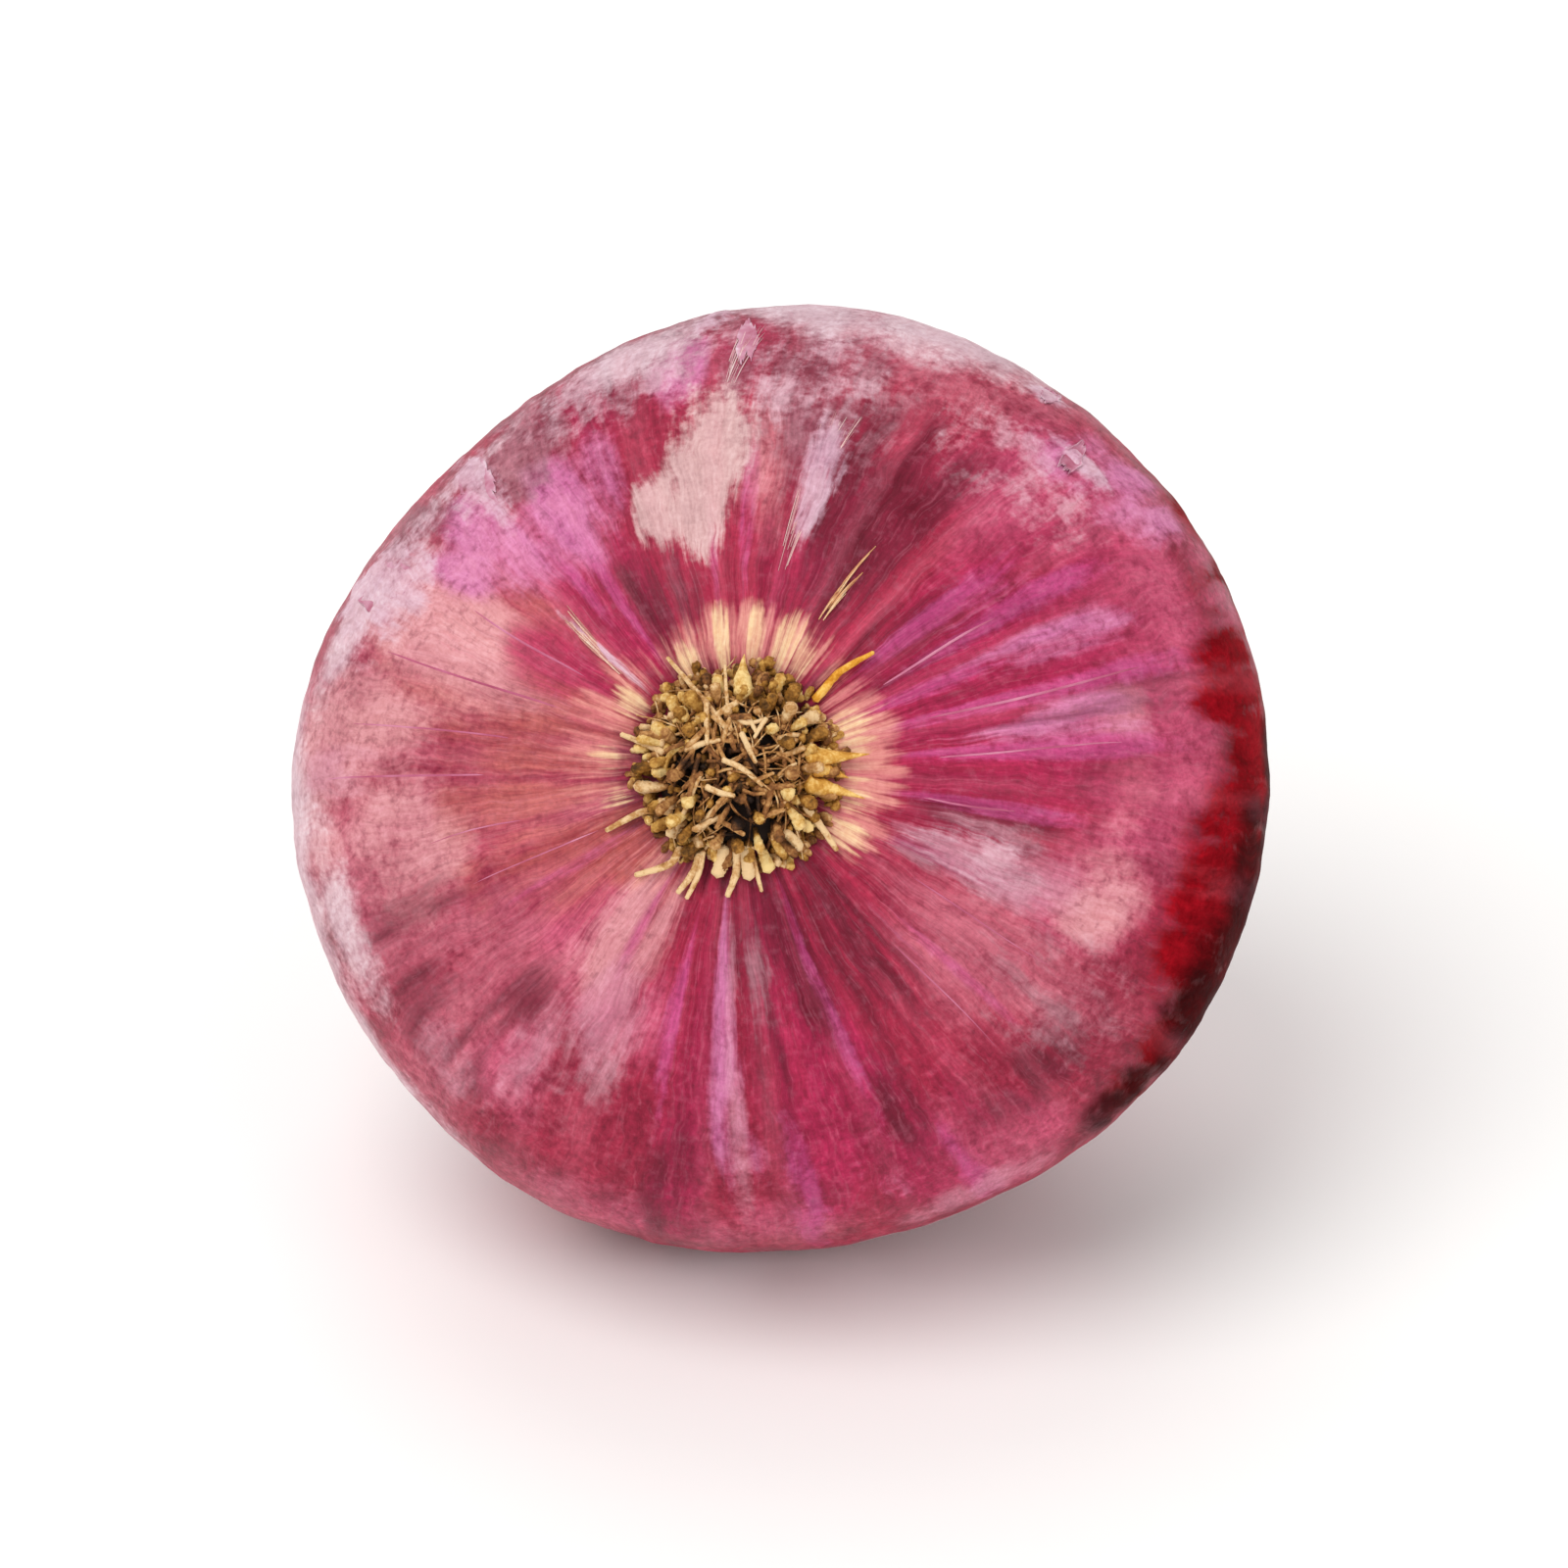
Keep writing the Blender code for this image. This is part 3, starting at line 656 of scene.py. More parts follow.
    # dull where the skin is deep red or in painted shadow
    inputs = {0: shares["deepRed"], 1: shares["paintedShadow"]}
    dull = addNode(tree, "Math", inputs, operation="MAXIMUM")
    plain, red = onionSkin["specular"]
    level = addNode(tree, "MapRange", {0: dull, 3: plain, 4: red})
    tree.links.new(level, shader.inputs["Specular IOR Level"])
    smooth, rough = onionSkin["roughness"]
    gloss = addNode(tree, "MapRange", {0: patterns["blotch"], 1: 0.35, 2: 0.7, 3: smooth, 4: rough})
    tree.links.new(gloss, shader.inputs["Roughness"])
    return material


skinPiece = makeSkin(driedSkinMaterial())
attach(skinPiece, "root")
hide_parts("bulb")
print("skin", len(skinPiece.data.polygons), "faces")

driedRoots = {
    "seed": 13,
    "plateRadius": 6.3 * mm,
    "plateHeight": 2.3 * mm,
    "plateShare": (0.97, 0.86),  # of the part's, in width and height, under the roots
    "plateEdge": (1.04, 2.6),  # where the roots' floor meets the skin, and how steeply
    "gap": 0.3 * mm,
    # the part's tiers of stubs: how many, where they start, their rise and their length
    "tiers": ((28, 5.3, 4.0, 2.6), (21, 4.8, 32.0, 2.3), (12, 3.6, 55.0, 1.9)),
    "tierLength": 0.88,  # of the part's
    "stubGirths": (0.62, 0.72, 0.95, 1.12, 0.9),
    "stubThickness": 0.88,
    # loose pieces: how many, how far out, length and thickness, in mm; bits and straws
    # give half their length, and hairs where they start
    "bits": (42, 4.8, 1.5, 0.42),
    "nubs": (560, 7.6, (0.5, 1.3), (0.4, 0.8)),  # crumpled stumps that fill the mat
    "straws": (170, 6.2, (0.5, 1.5), (0.18, 0.34)),  # finer broken straws on top
    "hairs": (60, (1.5, 5.5), (1.5, 3.4), (0.1, 0.17)),
    "lump": (1.6, 5.9, 34),  # a crumpled clod at the top: right, up, how many nubs
    "hollows": ((1.0, -3.9, 2.3), (-3.4, 0.2, 1.2)),  # gaps with fewer pieces, in painted shade: right, up, radius
    "crumple": 0.17,  # how far the stumps are dented
    # painted light and shade of the mat, in mm: where points start to show lit and the way to
    # fully: above the mat, out on the skin, and in the rim, which gets paler with painted
    # light
    "paintedLight": ((-0.45, 1.15), (5.8, 1.3), (5.2, 1.5)),
    "hollowShade": 1.5,
    "paintedRimLight": 0.3,
}

# Roots that stand out, by colour and girths, in mm from the middle of the tuft:
# thickness, tone (0 dark to 1 pale), and knots (right, up, lift above what it lies on).
straightGirths = (1.0, 1.0, 0.9, 0.7)
spikeGirths = (1.0, 0.85, 0.4, 0.04)
stubbyGirths = (0.8, 0.9, 1.1, 0.95)
namedRoots = (
    ("straw", straightGirths, (
        (0.45, 0.72, (-0.8, 3.1, 0.9), (-3.2, 5.7, 1.0), (-5.7, 8.3, 0.5)),
        (0.32, 0.80, (-0.4, 2.9, 0.9), (-0.9, 5.4, 1.0), (-1.25, 7.9, 0.7)),
        (0.55, 0.85, (-5.6, 1.0, 0.3), (-6.7, 1.5, 0.3), (-9.0, 2.3, 0.2)),
        (0.55, 0.70, (-4.8, -3.5, 0.4), (-6.9, -3.5, 0.3), (-9.8, -5.1, 0.1)),
        (0.60, 0.78, (-4.0, -6.2, 0.3), (-4.9, -7.5, 0.2), (-7.4, -8.4, 0.1)),
        (0.55, 0.75, (-2.6, -6.6, 0.3), (-3.0, -8.0, 0.2), (-4.1, -9.6, 0.1)),
        (0.50, 0.85, (-2.3, -6.4, 0.3), (-2.6, -8.2, 0.3), (-3.4, -10.0, 0.1)),
        (0.60, 0.80, (0.3, -6.2, 0.3), (0.3, -7.9, 0.2), (-0.3, -9.7, 0.1)),
        (0.40, 0.75, (1.5, -6.4, 0.3), (1.9, -7.8, 0.3), (2.3, -9.2, 0.1)),
        (0.55, 0.80, (5.4, -2.6, 0.4), (6.5, -3.9, 0.3), (7.9, -5.8, 0.1)),
    )),
    ("tan", spikeGirths, (
        (1.50, 0.60, (5.6, 1.2, 0.1), (7.6, 1.3, 0.1), (10.1, 1.6, 0.2)),
        (1.40, 0.60, (5.6, -1.0, 0.1), (7.5, -1.2, 0.1), (9.9, -1.8, 0.2)),
        (1.20, 0.60, (6.0, 0.2, 0.2), (7.4, 0.1, 0.3), (8.6, -0.3, 0.3)),
    )),
    ("gold", spikeGirths, ((1.60, 0.74, (0.3, 5.8, 0.3), (0.1, 7.3, 0.5), (0.2, 8.8, 0.3)),)),
    ("amber", (1.1, 1.0, 0.8, 0.5), ((0.66, 0.62, (5.7, 5.6, 0.0), (7.5, 7.8, 0.0), (10.0, 9.4, 0.0)),)),
    ("straw", stubbyGirths, (
        (1.05, 0.95, (-0.7, -6.0, 0.2), (-0.9, -7.2, 0.2), (-1.1, -8.1, 0.1)),
        (1.00, 1.00, (0.9, -6.1, 0.2), (1.2, -7.3, 0.2), (1.35, -8.2, 0.1)),
        (0.90, 0.90, (4.0, -4.6, 0.3), (4.6, -5.2, 0.3), (5.1, -5.8, 0.2)),
    )),
    ("gold", stubbyGirths, (
        (0.95, 0.85, (2.2, -6.2, 0.2), (2.6, -7.0, 0.2), (2.8, -7.6, 0.1)),
        (1.05, 0.80, (-4.0, 3.6, 0.6), (-4.3, 4.0, 0.7), (-4.5, 4.3, 0.7)),
        (1.00, 0.62, (-5.0, 2.2, 0.3), (-5.8, 2.7, 0.3), (-6.5, 3.0, 0.2)),
    )),
    ("straw", straightGirths, (
        (0.50, 0.90, (0.4, 2.7, 0.5), (1.0, 1.6, 0.6), (1.6, 0.5, 0.5)),
        (0.40, 0.95, (-0.2, 4.0, 0.6), (0.8, 3.5, 0.7), (2.1, 3.8, 0.6)),
        (0.36, 0.97, (0.8, 4.0, 0.8), (1.2, 3.4, 0.8), (1.6, 2.7, 0.7)),
        (0.38, 0.92, (2.2, 3.9, 0.7), (1.8, 3.2, 0.8), (1.4, 2.4, 0.6)),
        (0.48, 0.78, (-3.8, 1.2, 0.5), (-2.5, 1.8, 0.6), (-1.2, 2.1, 0.5)),
    )),
    ("gold", straightGirths, ((0.50, 0.72, (-5.6, -0.6, 0.4), (-5.0, 0.9, 0.5), (-3.6, 2.0, 0.6)),)),
    ("straw", straightGirths, (
        (0.36, 0.82, (-4.6, -5.4, 0.5), (-3.6, -3.1, 0.7), (-2.6, -0.7, 0.6)),
        (0.46, 0.76, (-2.7, -4.8, 0.5), (-1.6, -3.4, 0.5), (-0.4, -2.3, 0.5)),
        (0.50, 0.82, (-2.1, -1.5, 0.6), (-1.0, -1.9, 0.6), (0.1, -2.1, 0.6)),
        (0.44, 0.80, (3.2, 2.4, 0.5), (4.0, 2.7, 0.5), (4.8, 2.8, 0.5)),
        (0.44, 0.88, (-0.9, 0.6, 0.5), (0.6, 0.0, 0.5), (2.2, -1.2, 0.4)),
    )),
)


def smoothLine(knots, samples):
    # Points along a smooth line through the knots.
    ends = [knots[0] * 2 - knots[1], *knots, knots[-1] * 2 - knots[-2]]
    line = []
    for i in range(samples):
        place = i / (samples - 1) * (len(knots) - 1)
        j = min(int(place), len(knots) - 2)
        t = place - j
        a, b, c, d = ends[j:j + 4]
        bend = (2 * a - 5 * b + 4 * c - d) * t**2 + (3 * b - a - 3 * c + d) * t**3
        line.append((2 * b + (c - a) * t + bend) / 2)
    return line


dents = random.Random(17)


def addTube(bm, knots, thickness, girths, tint, samples=9, sides=7, crumple=0.05):
    # A root: a tube along a smooth line, its girth given along it, closed at both ends.
    # crumple dents it, mostly in grooves that run lengthwise.
    layer = bm.verts.layers.float_vector["tint"]
    line = smoothLine(knots, samples)
    side = (line[1] - line[0]).orthogonal().normalized()
    grooves = [dents.uniform(1 - crumple, 1 + crumple) for _ in range(sides)]
    rings = []
    for i, spot in enumerate(line):
        way = (line[min(i + 1, samples - 1)] - line[max(i - 1, 0)]).normalized()
        side = (side - way * side.dot(way)).normalized()
        other = way.cross(side)
        share = i / (samples - 1)
        half = thickness / 2 * float(np.interp(share, np.linspace(0, 1, len(girths)), girths))
        ring = []
        for k, groove in enumerate(grooves):
            turn = math.tau * k / sides
            reach = half * groove * dents.uniform(1 - crumple, 1 + crumple)
            vert = bm.verts.new(spot + (side * math.cos(turn) + other * math.sin(turn)) * reach)
            vert[layer] = (*tint, share)
            ring.append(vert)
        rings.append((ring, spot + way * half * (0.6 if i else -0.6)))
    for (low, _), (high, _) in zip(rings, rings[1:]):
        for k in range(sides):
            bm.faces.new((low[k], low[(k + 1) % sides], high[(k + 1) % sides], high[k]))
    for (ring, spot), turn in ((rings[0], -1), (rings[-1], 1)):
        tip = bm.verts.new(spot)
        tip[layer] = ring[0][layer]
        for k in range(sides):
            corner = (ring[k], ring[(k + 1) % sides], tip)
            bm.faces.new(corner if turn > 0 else corner[::-1])


def tuftFloor(right, up):
    # Height of what a root lies on, above the foot of the tuft: its plate or the skin.
    reach = math.hypot(right, up)
    skin = float(skinHeight(reach)) - float(skinHeight(driedRoots["plateRadius"])) - driedRoots["gap"]
    edge, steep = driedRoots["plateEdge"]
    share = min(reach / (driedRoots["plateRadius"] * edge), 1.0)
    plate = driedRoots["plateHeight"] * (1 - share**steep)
    return max(skin, plate)


def onTuft(right, up, lift):
    return Vector((right, up, tuftFloor(right, up) + lift))


def makeRoots(material):
    draw = random.Random(driedRoots["seed"])
    crumple = driedRoots["crumple"]
    bm, layer = tintedMesh()
    kinds = {"straw": 0.0, "gold": 0.5, "tan": 0.7, "amber": 1.0}

    # The plate: a rough brown dome.
    bmesh.ops.create_uvsphere(bm, u_segments=48, v_segments=24, radius=1.0)
    width, height = driedRoots["plateShare"]
    wide = driedRoots["plateRadius"] * width
    for vert in bm.verts:
        rough = 1 + 0.10 * math.sin(vert.co.x * 23 + vert.co.y * 17) * math.cos(vert.co.y * 29)
        high = driedRoots["plateHeight"] * height if vert.co.z > 0 else 0.2 * mm
        vert.co = (vert.co.x * wide, vert.co.y * wide, vert.co.z * high * rough)

    # The part's own short roots, in its order of draws.
    for count, start, rise, reach in driedRoots["tiers"]:
        for i in range(count):
            azimuth = math.tau * (i + draw.uniform(-0.35, 0.35)) / count
            lift = max(math.radians(rise) + draw.uniform(-1, 1) * math.radians(8), 0.0)
            length = driedRoots["tierLength"] * reach * mm * draw.uniform(0.8, 1.2)
            height = driedRoots["plateHeight"] * (0.3 + 0.45 * math.sin(math.radians(rise)))
            foot = polar(start * mm, azimuth, height)
            way = polar(math.cos(lift), azimuth, math.sin(lift)) * length
            aside = draw.uniform(-0.3, 0.3) * length
            side = polar(aside, azimuth + math.pi / 2, 0.0)
            knots = [foot + way * place + side * place**2 for place in (0.0, 0.4, 0.75, 1.0)]
            girth = driedRoots["stubThickness"] * mm * draw.uniform(0.75, 1.15)
            shade = (0.45 + 0.35 * math.sin(azimuth * 7 + i), 0.5 if i % 3 else 0.0)
            addTube(bm, knots, girth, driedRoots["stubGirths"], shade, 13, 11, crumple)
    count, reach, size, thickness = driedRoots["bits"]
    for _ in range(count):
        out = reach * mm * math.sqrt(draw.random())
        middle = polar(out, draw.uniform(0, math.tau), driedRoots["plateHeight"])
        middle.z += draw.uniform(-0.1, 0.5) * mm
        way = polar(1.0, draw.uniform(0, math.tau), draw.uniform(-0.3, 0.3))
        half = size * mm * draw.uniform(0.6, 1.2)
        knots = [middle - way * half, middle, middle + way * half]
        addTube(bm, knots, thickness * mm * draw.uniform(0.8, 1.2), (1.0, 1.05, 0.8),
                (0.2 + 0.5 * draw.random(), 0.0), 8, 8, 0.1)

    # Finer ones than the part holds, fewer of them in the gaps that get painted shade.
    more = random.Random(driedRoots["seed"] + 40)

    def inHollow(x, y):
        return max(
            1 - math.hypot(x / mm - right, y / mm - up) / radius
            for right, up, radius in driedRoots["hollows"]
        )

    count, reach, sizes, thicknesses = driedRoots["nubs"]
    right, up, lumps = driedRoots["lump"]
    feet = [polar(reach * mm * more.random() ** 0.45, more.uniform(0, math.tau), 0) for _ in range(count)]
    feet += [Vector((right + more.gauss(0, 1.0), up + more.gauss(0, 0.75), 0)) * mm for _ in range(lumps)]
    for i, spot in enumerate(feet):
        inLump = i >= count
        out = Vector((spot.x, spot.y, 0)) / (6.5 * mm)
        way = (out * 1.2 + Vector((more.uniform(-1, 1), more.uniform(-1, 1), 0.6))).normalized()
        foot = onTuft(spot.x, spot.y, more.uniform(0.1, 0.7) * mm if inLump else -0.35 * mm)
        length = more.uniform(*sizes) * mm
        bend = Vector((more.uniform(-0.3, 0.3), more.uniform(-0.3, 0.3), 0)) * length
        girth = more.uniform(*thicknesses) * mm
        shade = (more.uniform(0.05, 0.35) if inLump else more.uniform(0.1, 0.8), more.choice((0.0, 0.5)))
        if inHollow(spot.x, spot.y) < 0.05:
            addTube(bm, [foot, foot + way * length * 0.6 + bend, foot + way * length], girth,
                    (0.7, 0.9, 1.1, 0.85), shade, 7, 8, crumple * 1.4)
    count, reach, sizes, thicknesses = driedRoots["straws"]
    for _ in range(count):
        spot = polar(reach * mm * math.sqrt(more.random()), more.uniform(0, math.tau), 0)
        turn = more.uniform(0, math.tau)
        half = more.uniform(*sizes) * mm
        bend = more.uniform(-0.3, 0.3) * half
        lift = more.uniform(0.0, 0.7) * mm
        way, across = polar(1, turn, 0), polar(1, turn + math.pi / 2, 0)
        marks = [spot - way * half, spot + across * bend, spot + way * half]
        tilt = more.uniform(-0.3, 0.3) * half
        knots = [onTuft(m.x, m.y, lift + tilt * (k - 1)) for k, m in enumerate(marks)]
        if inHollow(spot.x, spot.y) < 0.1:
            addTube(bm, knots, more.uniform(*thicknesses) * mm, (0.9, 1.0, 0.85),
                    (more.uniform(0.25, 0.95), 0.0), 7, 6, 0.12)
    count, starts, sizes, thicknesses = driedRoots["hairs"]
    for _ in range(count):
        azimuth, start = more.uniform(0, math.tau), more.uniform(*starts) * mm
        reach = start + more.uniform(*sizes) * mm
        swing = more.uniform(-0.6, 0.6)
        ends = [polar(start, azimuth, 0), polar((start + reach) / 2, azimuth + swing / 2, 0),
                polar(reach, azimuth + swing, 0)]
        knots = [onTuft(p.x, p.y, lift * mm) for p, lift in zip(ends, (0.5, 0.8, 0.2))]
        addTube(bm, knots, more.uniform(*thicknesses) * mm, (1.0, 0.9, 0.6), (0.7, 0.0), 9, 5)
    for kind, girths, roots in namedRoots:
        for thickness, tone, *marks in roots:
            knots = [onTuft(x * mm, y * mm, (z + thickness / 2) * mm) for x, y, z in marks]
            addTube(bm, knots, thickness * mm, girths, (tone, kinds[kind]), 16, 10, 0.11)

    # Painted light and shade: how far each point stands out of the mat, 0 in the gaps, 1 on top or out on
    # the skin.
    (low, rise), (start, way), (rim, band) = driedRoots["paintedLight"]
    for vert in bm.verts:
        out = math.hypot(vert.co.x, vert.co.y) / mm
        lift = (vert.co.z - tuftFloor(vert.co.x, vert.co.y)) / mm
        paintedLight = max((lift - low) / rise, (out - start) / way)
        paintedLight -= driedRoots["hollowShade"] * max(inHollow(vert.co.x, vert.co.y), 0)
        paintedLight += driedRoots["paintedRimLight"] * min(max((out - rim) / band, 0), 1)
        tone, kind, _ = vert[layer]
        vert[layer] = (tone, kind, min(max(paintedLight, 0.0), 1.3))

    foot = Vector((bulb["rootShift"], 0, float(skinHeight(driedRoots["plateRadius"])) + driedRoots["gap"]))
    bm.transform(pose @ Matrix.Translation(foot))
    return addPiece("driedRoots", bm, material)


def driedRootMaterial():
    # Dried root fibre, matt. To the eye: brown straw and dull gold, with painted light where
    # it stands out and painted shade, near black, in the gaps, and one amber root.
    material, tree, shader, solid, mottle = driedMaterial("onionRootDriedFibre", 0.72, 0.25, 1100.0, 4.0)
    tint = addNode(tree, "Attribute", attribute_name="tint", output="Vector")
    shade, kind, paintedLight = addNode(tree, "SeparateXYZ", {0: tint}, output=slice(3))
    grain = addNode(tree, "TexNoise", {"Vector": solid, "Scale": 4500.0, "Detail": 3.0})
    for part, weight in ((paintedLight, 0.6), (mottle, 1.4), (grain, 0.8)):
        shade = addNode(tree, "Math", {0: part, 1: weight, 2: shade}, operation="MULTIPLY_ADD")
    shade = addNode(tree, "MapRange", {0: shade, 1: 1.52, 2: 2.75})
    colours = [addNode(tree, "ValToRGB", {0: shade}, ramp) for ramp in (
        ((0.0, "#1A0A03"), (0.25, "#4E2E15"), (0.5, "#88562C"), (0.75, "#BA8850"), (1.0, "#E2C090")),
        ((0.0, "#201004"), (0.25, "#5A3912"), (0.5, "#986626"), (0.75, "#C8984C"), (1.0, "#E8C886")),
        ((0.0, "#5A2E06"), (0.3, "#9A570E"), (0.6, "#C8821C"), (0.8, "#DF9F35"), (1.0, "#F0C060")),
    )]
    colour = colours[0]
    for low, over in ((0.0, colours[1]), (0.5, colours[2])):
        share = addNode(tree, "MapRange", {0: kind, 1: low, 2: low + 0.5})
        colour = addNode(tree, "Mix", {0: share, 6: colour, 7: over}, data_type="RGBA", output=2)
    linkSurface(tree, shader, colour, mottle, 0.8, 0.1)
    return material


rootPiece = makeRoots(driedRootMaterial())
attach(rootPiece, "root")
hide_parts("root_tuft")
print("roots", len(rootPiece.data.polygons), "faces")

# Thin things on the skin. Veins: azimuth, latitudes that they run between, thickness in
# mm. Flakes of the outer layer: azimuth, latitude, half width and half length in mm,
# lean in degrees, lift of the edge in mm, tone. Torn fibres: see tornFibres.
skinVeins = {
    "seed": 21,
    "seen": (
        (164, 74, 34, 0.20), (175, 70, 28, 0.16), (183, 66, 26, 0.18), (195, 68, 48, 0.14),
        (205, 77, 52, 0.16), (152, 73, 48, 0.20), (34, 74, 54, 0.20),
        (18, 73, 36, 0.22), (7, 73, 40, 0.18), (354, 72, 56, 0.16), (330, 72, 42, 0.16),
        (314, 68, 40, 0.16),
    ),
    "hidden": 22,  # from the neck up the far sides
    "samples": 26,
    "sunk": 0.08,  # mm into the skin
    "girths": (0.8, 1.0, 1.0, 0.9, 0.8),
}
skinFlakes = {
    "seed": 22,
    "paper": 0.05,  # mm
    "cells": (22, 40),  # across and along
    "seen": (
        (137, 31, 1.4, 5.0, 0, 0.05, 0.5), (156, 31, 2.0, 4.2, 8, 0.06, 0.4),
        (48.5, 29, 0.7, 2.8, 6, 0.2, 0.4), (57, 16, 0.8, 2.5, 0, 0.15, 0.5),
        (95, 29, 0.8, 4.0, 2, 0.05, 0.5),
    ),
    "hidden": 9,
    "tears": ((3, 0.22), (8, 0.14), (19, 0.10), (34, 0.06)),  # waves along a torn end, and size
}
tornFibres = {
    "seed": 23,
    # azimuth and latitude at the foot and at the far end, spread in degrees at both,
    # thickness and lift in mm, how many strands, and how white they are
    "bundles": (
        ((64.5, 71.5), (61.5, 60.5), (1.0, 1.7), (0.08, 0.20), 0.12, 12, 0.15),
        ((81.5, 68.0), (78.5, 44.0), (1.4, 3.0), (0.05, 0.12), 0.02, 48, 0.9),
        ((143.0, 74.0), (141.0, 62.0), (1.2, 2.0), (0.08, 0.18), 0.06, 18, 0.6),
        ((97.0, 40.0), (94.0, 24.0), (0.8, 2.2), (0.05, 0.12), 0.02, 28, 1.0),
    ),
}


def makeVeins(material):
    draw = random.Random(skinVeins["seed"])
    veins = list(skinVeins["seen"])
    for i in range(skinVeins["hidden"]):
        azimuth = 360 * (i + draw.uniform(-0.3, 0.3)) / skinVeins["hidden"]
        veins.append((azimuth, draw.uniform(-20, 12), -78, draw.uniform(0.14, 0.24)))
    bm, _ = tintedMesh()
    for azimuth, top, low, thickness in veins:
        sway, wave = draw.uniform(0.1, 0.3), draw.uniform(0, math.tau)
        knots = []
        for i in range(9):
            share = i / 8
            latitude = top + (low - top) * share
            turn = azimuth + sway * math.sin(wave + 5 * share) / math.cos(math.radians(latitude))
            knots.append(skinSpot(turn, latitude, -skinVeins["sunk"] - 0.2 * abs(2 * share - 1) ** 6))
        addTube(bm, knots, (thickness + 0.06) * mm, skinVeins["girths"], (draw.uniform(0.4, 0.9), 0),
                skinVeins["samples"], 6)
    bm.transform(pose)
    clearOfFloor(bm)
    return addPiece("skinVeins", bm, material)


def makeFlakes(material):
    draw = random.Random(skinFlakes["seed"])
    flakes = list(skinFlakes["seen"])
    for i in range(skinFlakes["hidden"]):
        azimuth = 360 * (i + draw.uniform(-0.35, 0.35)) / skinFlakes["hidden"]
        flakes.append((azimuth, draw.uniform(-62, -28), draw.uniform(0.8, 2.2), draw.uniform(2.5, 6),
                       draw.uniform(-8, 8), draw.uniform(0.2, 0.5), draw.uniform(0.1, 0.7)))
    columns, rows = skinFlakes["cells"]
    around = bulb["radius"] / mm
    bm, layer = tintedMesh()
    for azimuth, latitude, halfWidth, halfLength, lean, lift, tone in flakes:
        # a strip along the fibres, its ends torn fibre by fibre
        aside, share = flatGrid(np.linspace(-1, 1, columns + 1), np.linspace(-1, 1, rows + 1))
        torn = 1 - 0.8 * np.abs(aside) ** 3
        for waves, size in skinFlakes["tears"]:
            torn = torn + size * np.sin(waves * aside + draw.uniform(0, math.tau) + 2 * np.sign(share))
        across = halfWidth * (aside + 0.12 * np.sin(3 * share + draw.uniform(0, math.tau)))
        along = halfLength * share * np.maximum(torn, 0.1)
        tilt = math.radians(lean)
        across, along = (across * math.cos(tilt) - along * math.sin(tilt),
                         across * math.sin(tilt) + along * math.cos(tilt))
        place = math.radians(latitude) + along / around
        edge = np.maximum(np.clip(aside * draw.choice((-1, 1)), 0, 1) ** 4, 0.8 * np.abs(share) ** 6)
        spots = finishedSkin(
            place, math.radians(azimuth) + across / (around * np.cos(place)), 0.05 + lift * edge
        )
        verts = [bm.verts.new(spot) for spot in spots]
        for vert, far in zip(verts, edge):
            vert[layer] = (tone, 0.0, far)
        for low in range(0, rows * (columns + 1), columns + 1):
            for k in range(low, low + columns):
                bm.faces.new((verts[k], verts[k + 1], verts[k + columns + 2], verts[k + columns + 1]))
    bm.transform(pose)
    clearOfFloor(bm)
    return thicken(addPiece("skinFlakes", bm, material), skinFlakes["paper"])


def makeTornFibres(material):
    draw = random.Random(tornFibres["seed"])
    bm, _ = tintedMesh()
    for foot, far, (narrow, wide), thickness, lift, strands, white in tornFibres["bundles"]:
        for i in range(strands):
            begin = draw.uniform(0, 0.5)
            end = min(begin + draw.uniform(0.3, 0.6), 1.0)
            aside, fan = draw.uniform(-1, 1), draw.uniform(-0.4, 0.4)
            knots = []
            for k in range(5):
                share = begin + (end - begin) * k / 4
                spread = narrow + (wide - narrow) * share
                turn = foot[0] + (far[0] - foot[0]) * share + (aside + fan * k / 4) * spread
                height = 0.03 + lift * (i % 3) * math.sin(math.pi * k / 4)
                knots.append(skinSpot(turn, foot[1] + (far[1] - foot[1]) * share, height))
            addTube(bm, knots, draw.uniform(*thickness) * mm, (0.6, 1.0, 0.9, 0.4),
                    (draw.uniform(0.5, 1.0), white), 14, 6, 0.15)
    bm.transform(pose)
    return addPiece("tornFibres", bm, material)


def skinVeinMaterial():
    # Raised veins of the dry skin, satin. To the eye: pale pink threads, straw in places.
    material, tree, shader, _, mottle = driedMaterial("onionSkinVein", 0.5, 0.25, 160.0, 4.0)
    ramp = ((0.3, "#9A3C58"), (0.48, "#B65A78"), (0.62, "#CA7C98"), (0.8, "#D896A4"))
    linkSurface(tree, shader, addNode(tree, "ValToRGB", {0: mottle}, ramp))
    return material


def skinFlakeMaterial():
    # Papery outer layer, coming loose, matt. To the eye: whitish lilac over the crimson,
    # more so where it stands off at the edge.
    material, tree, shader, _, mottle = driedMaterial("onionSkinLooseFlake", 0.6, 0.25, 700.0, 5.0)
    tint = addNode(tree, "Attribute", attribute_name="tint", output="Vector")
    tone, _, edge = addNode(tree, "SeparateXYZ", {0: tint}, output=slice(3))
    shade = addNode(tree, "Math", {0: edge, 1: 0.25, 2: mottle}, operation="MULTIPLY_ADD")
    shade = addNode(tree, "Math", {0: tone, 1: 0.35, 2: shade}, operation="MULTIPLY_ADD")
    ramp = ((0.5, "#A8566E"), (0.7, "#BE7C92"), (0.9, "#CE9CAE"), (1.0, "#DDBECA"))
    linkSurface(tree, shader, addNode(tree, "ValToRGB", {0: shade}, ramp), mottle, 0.5, 0.08)
    return material


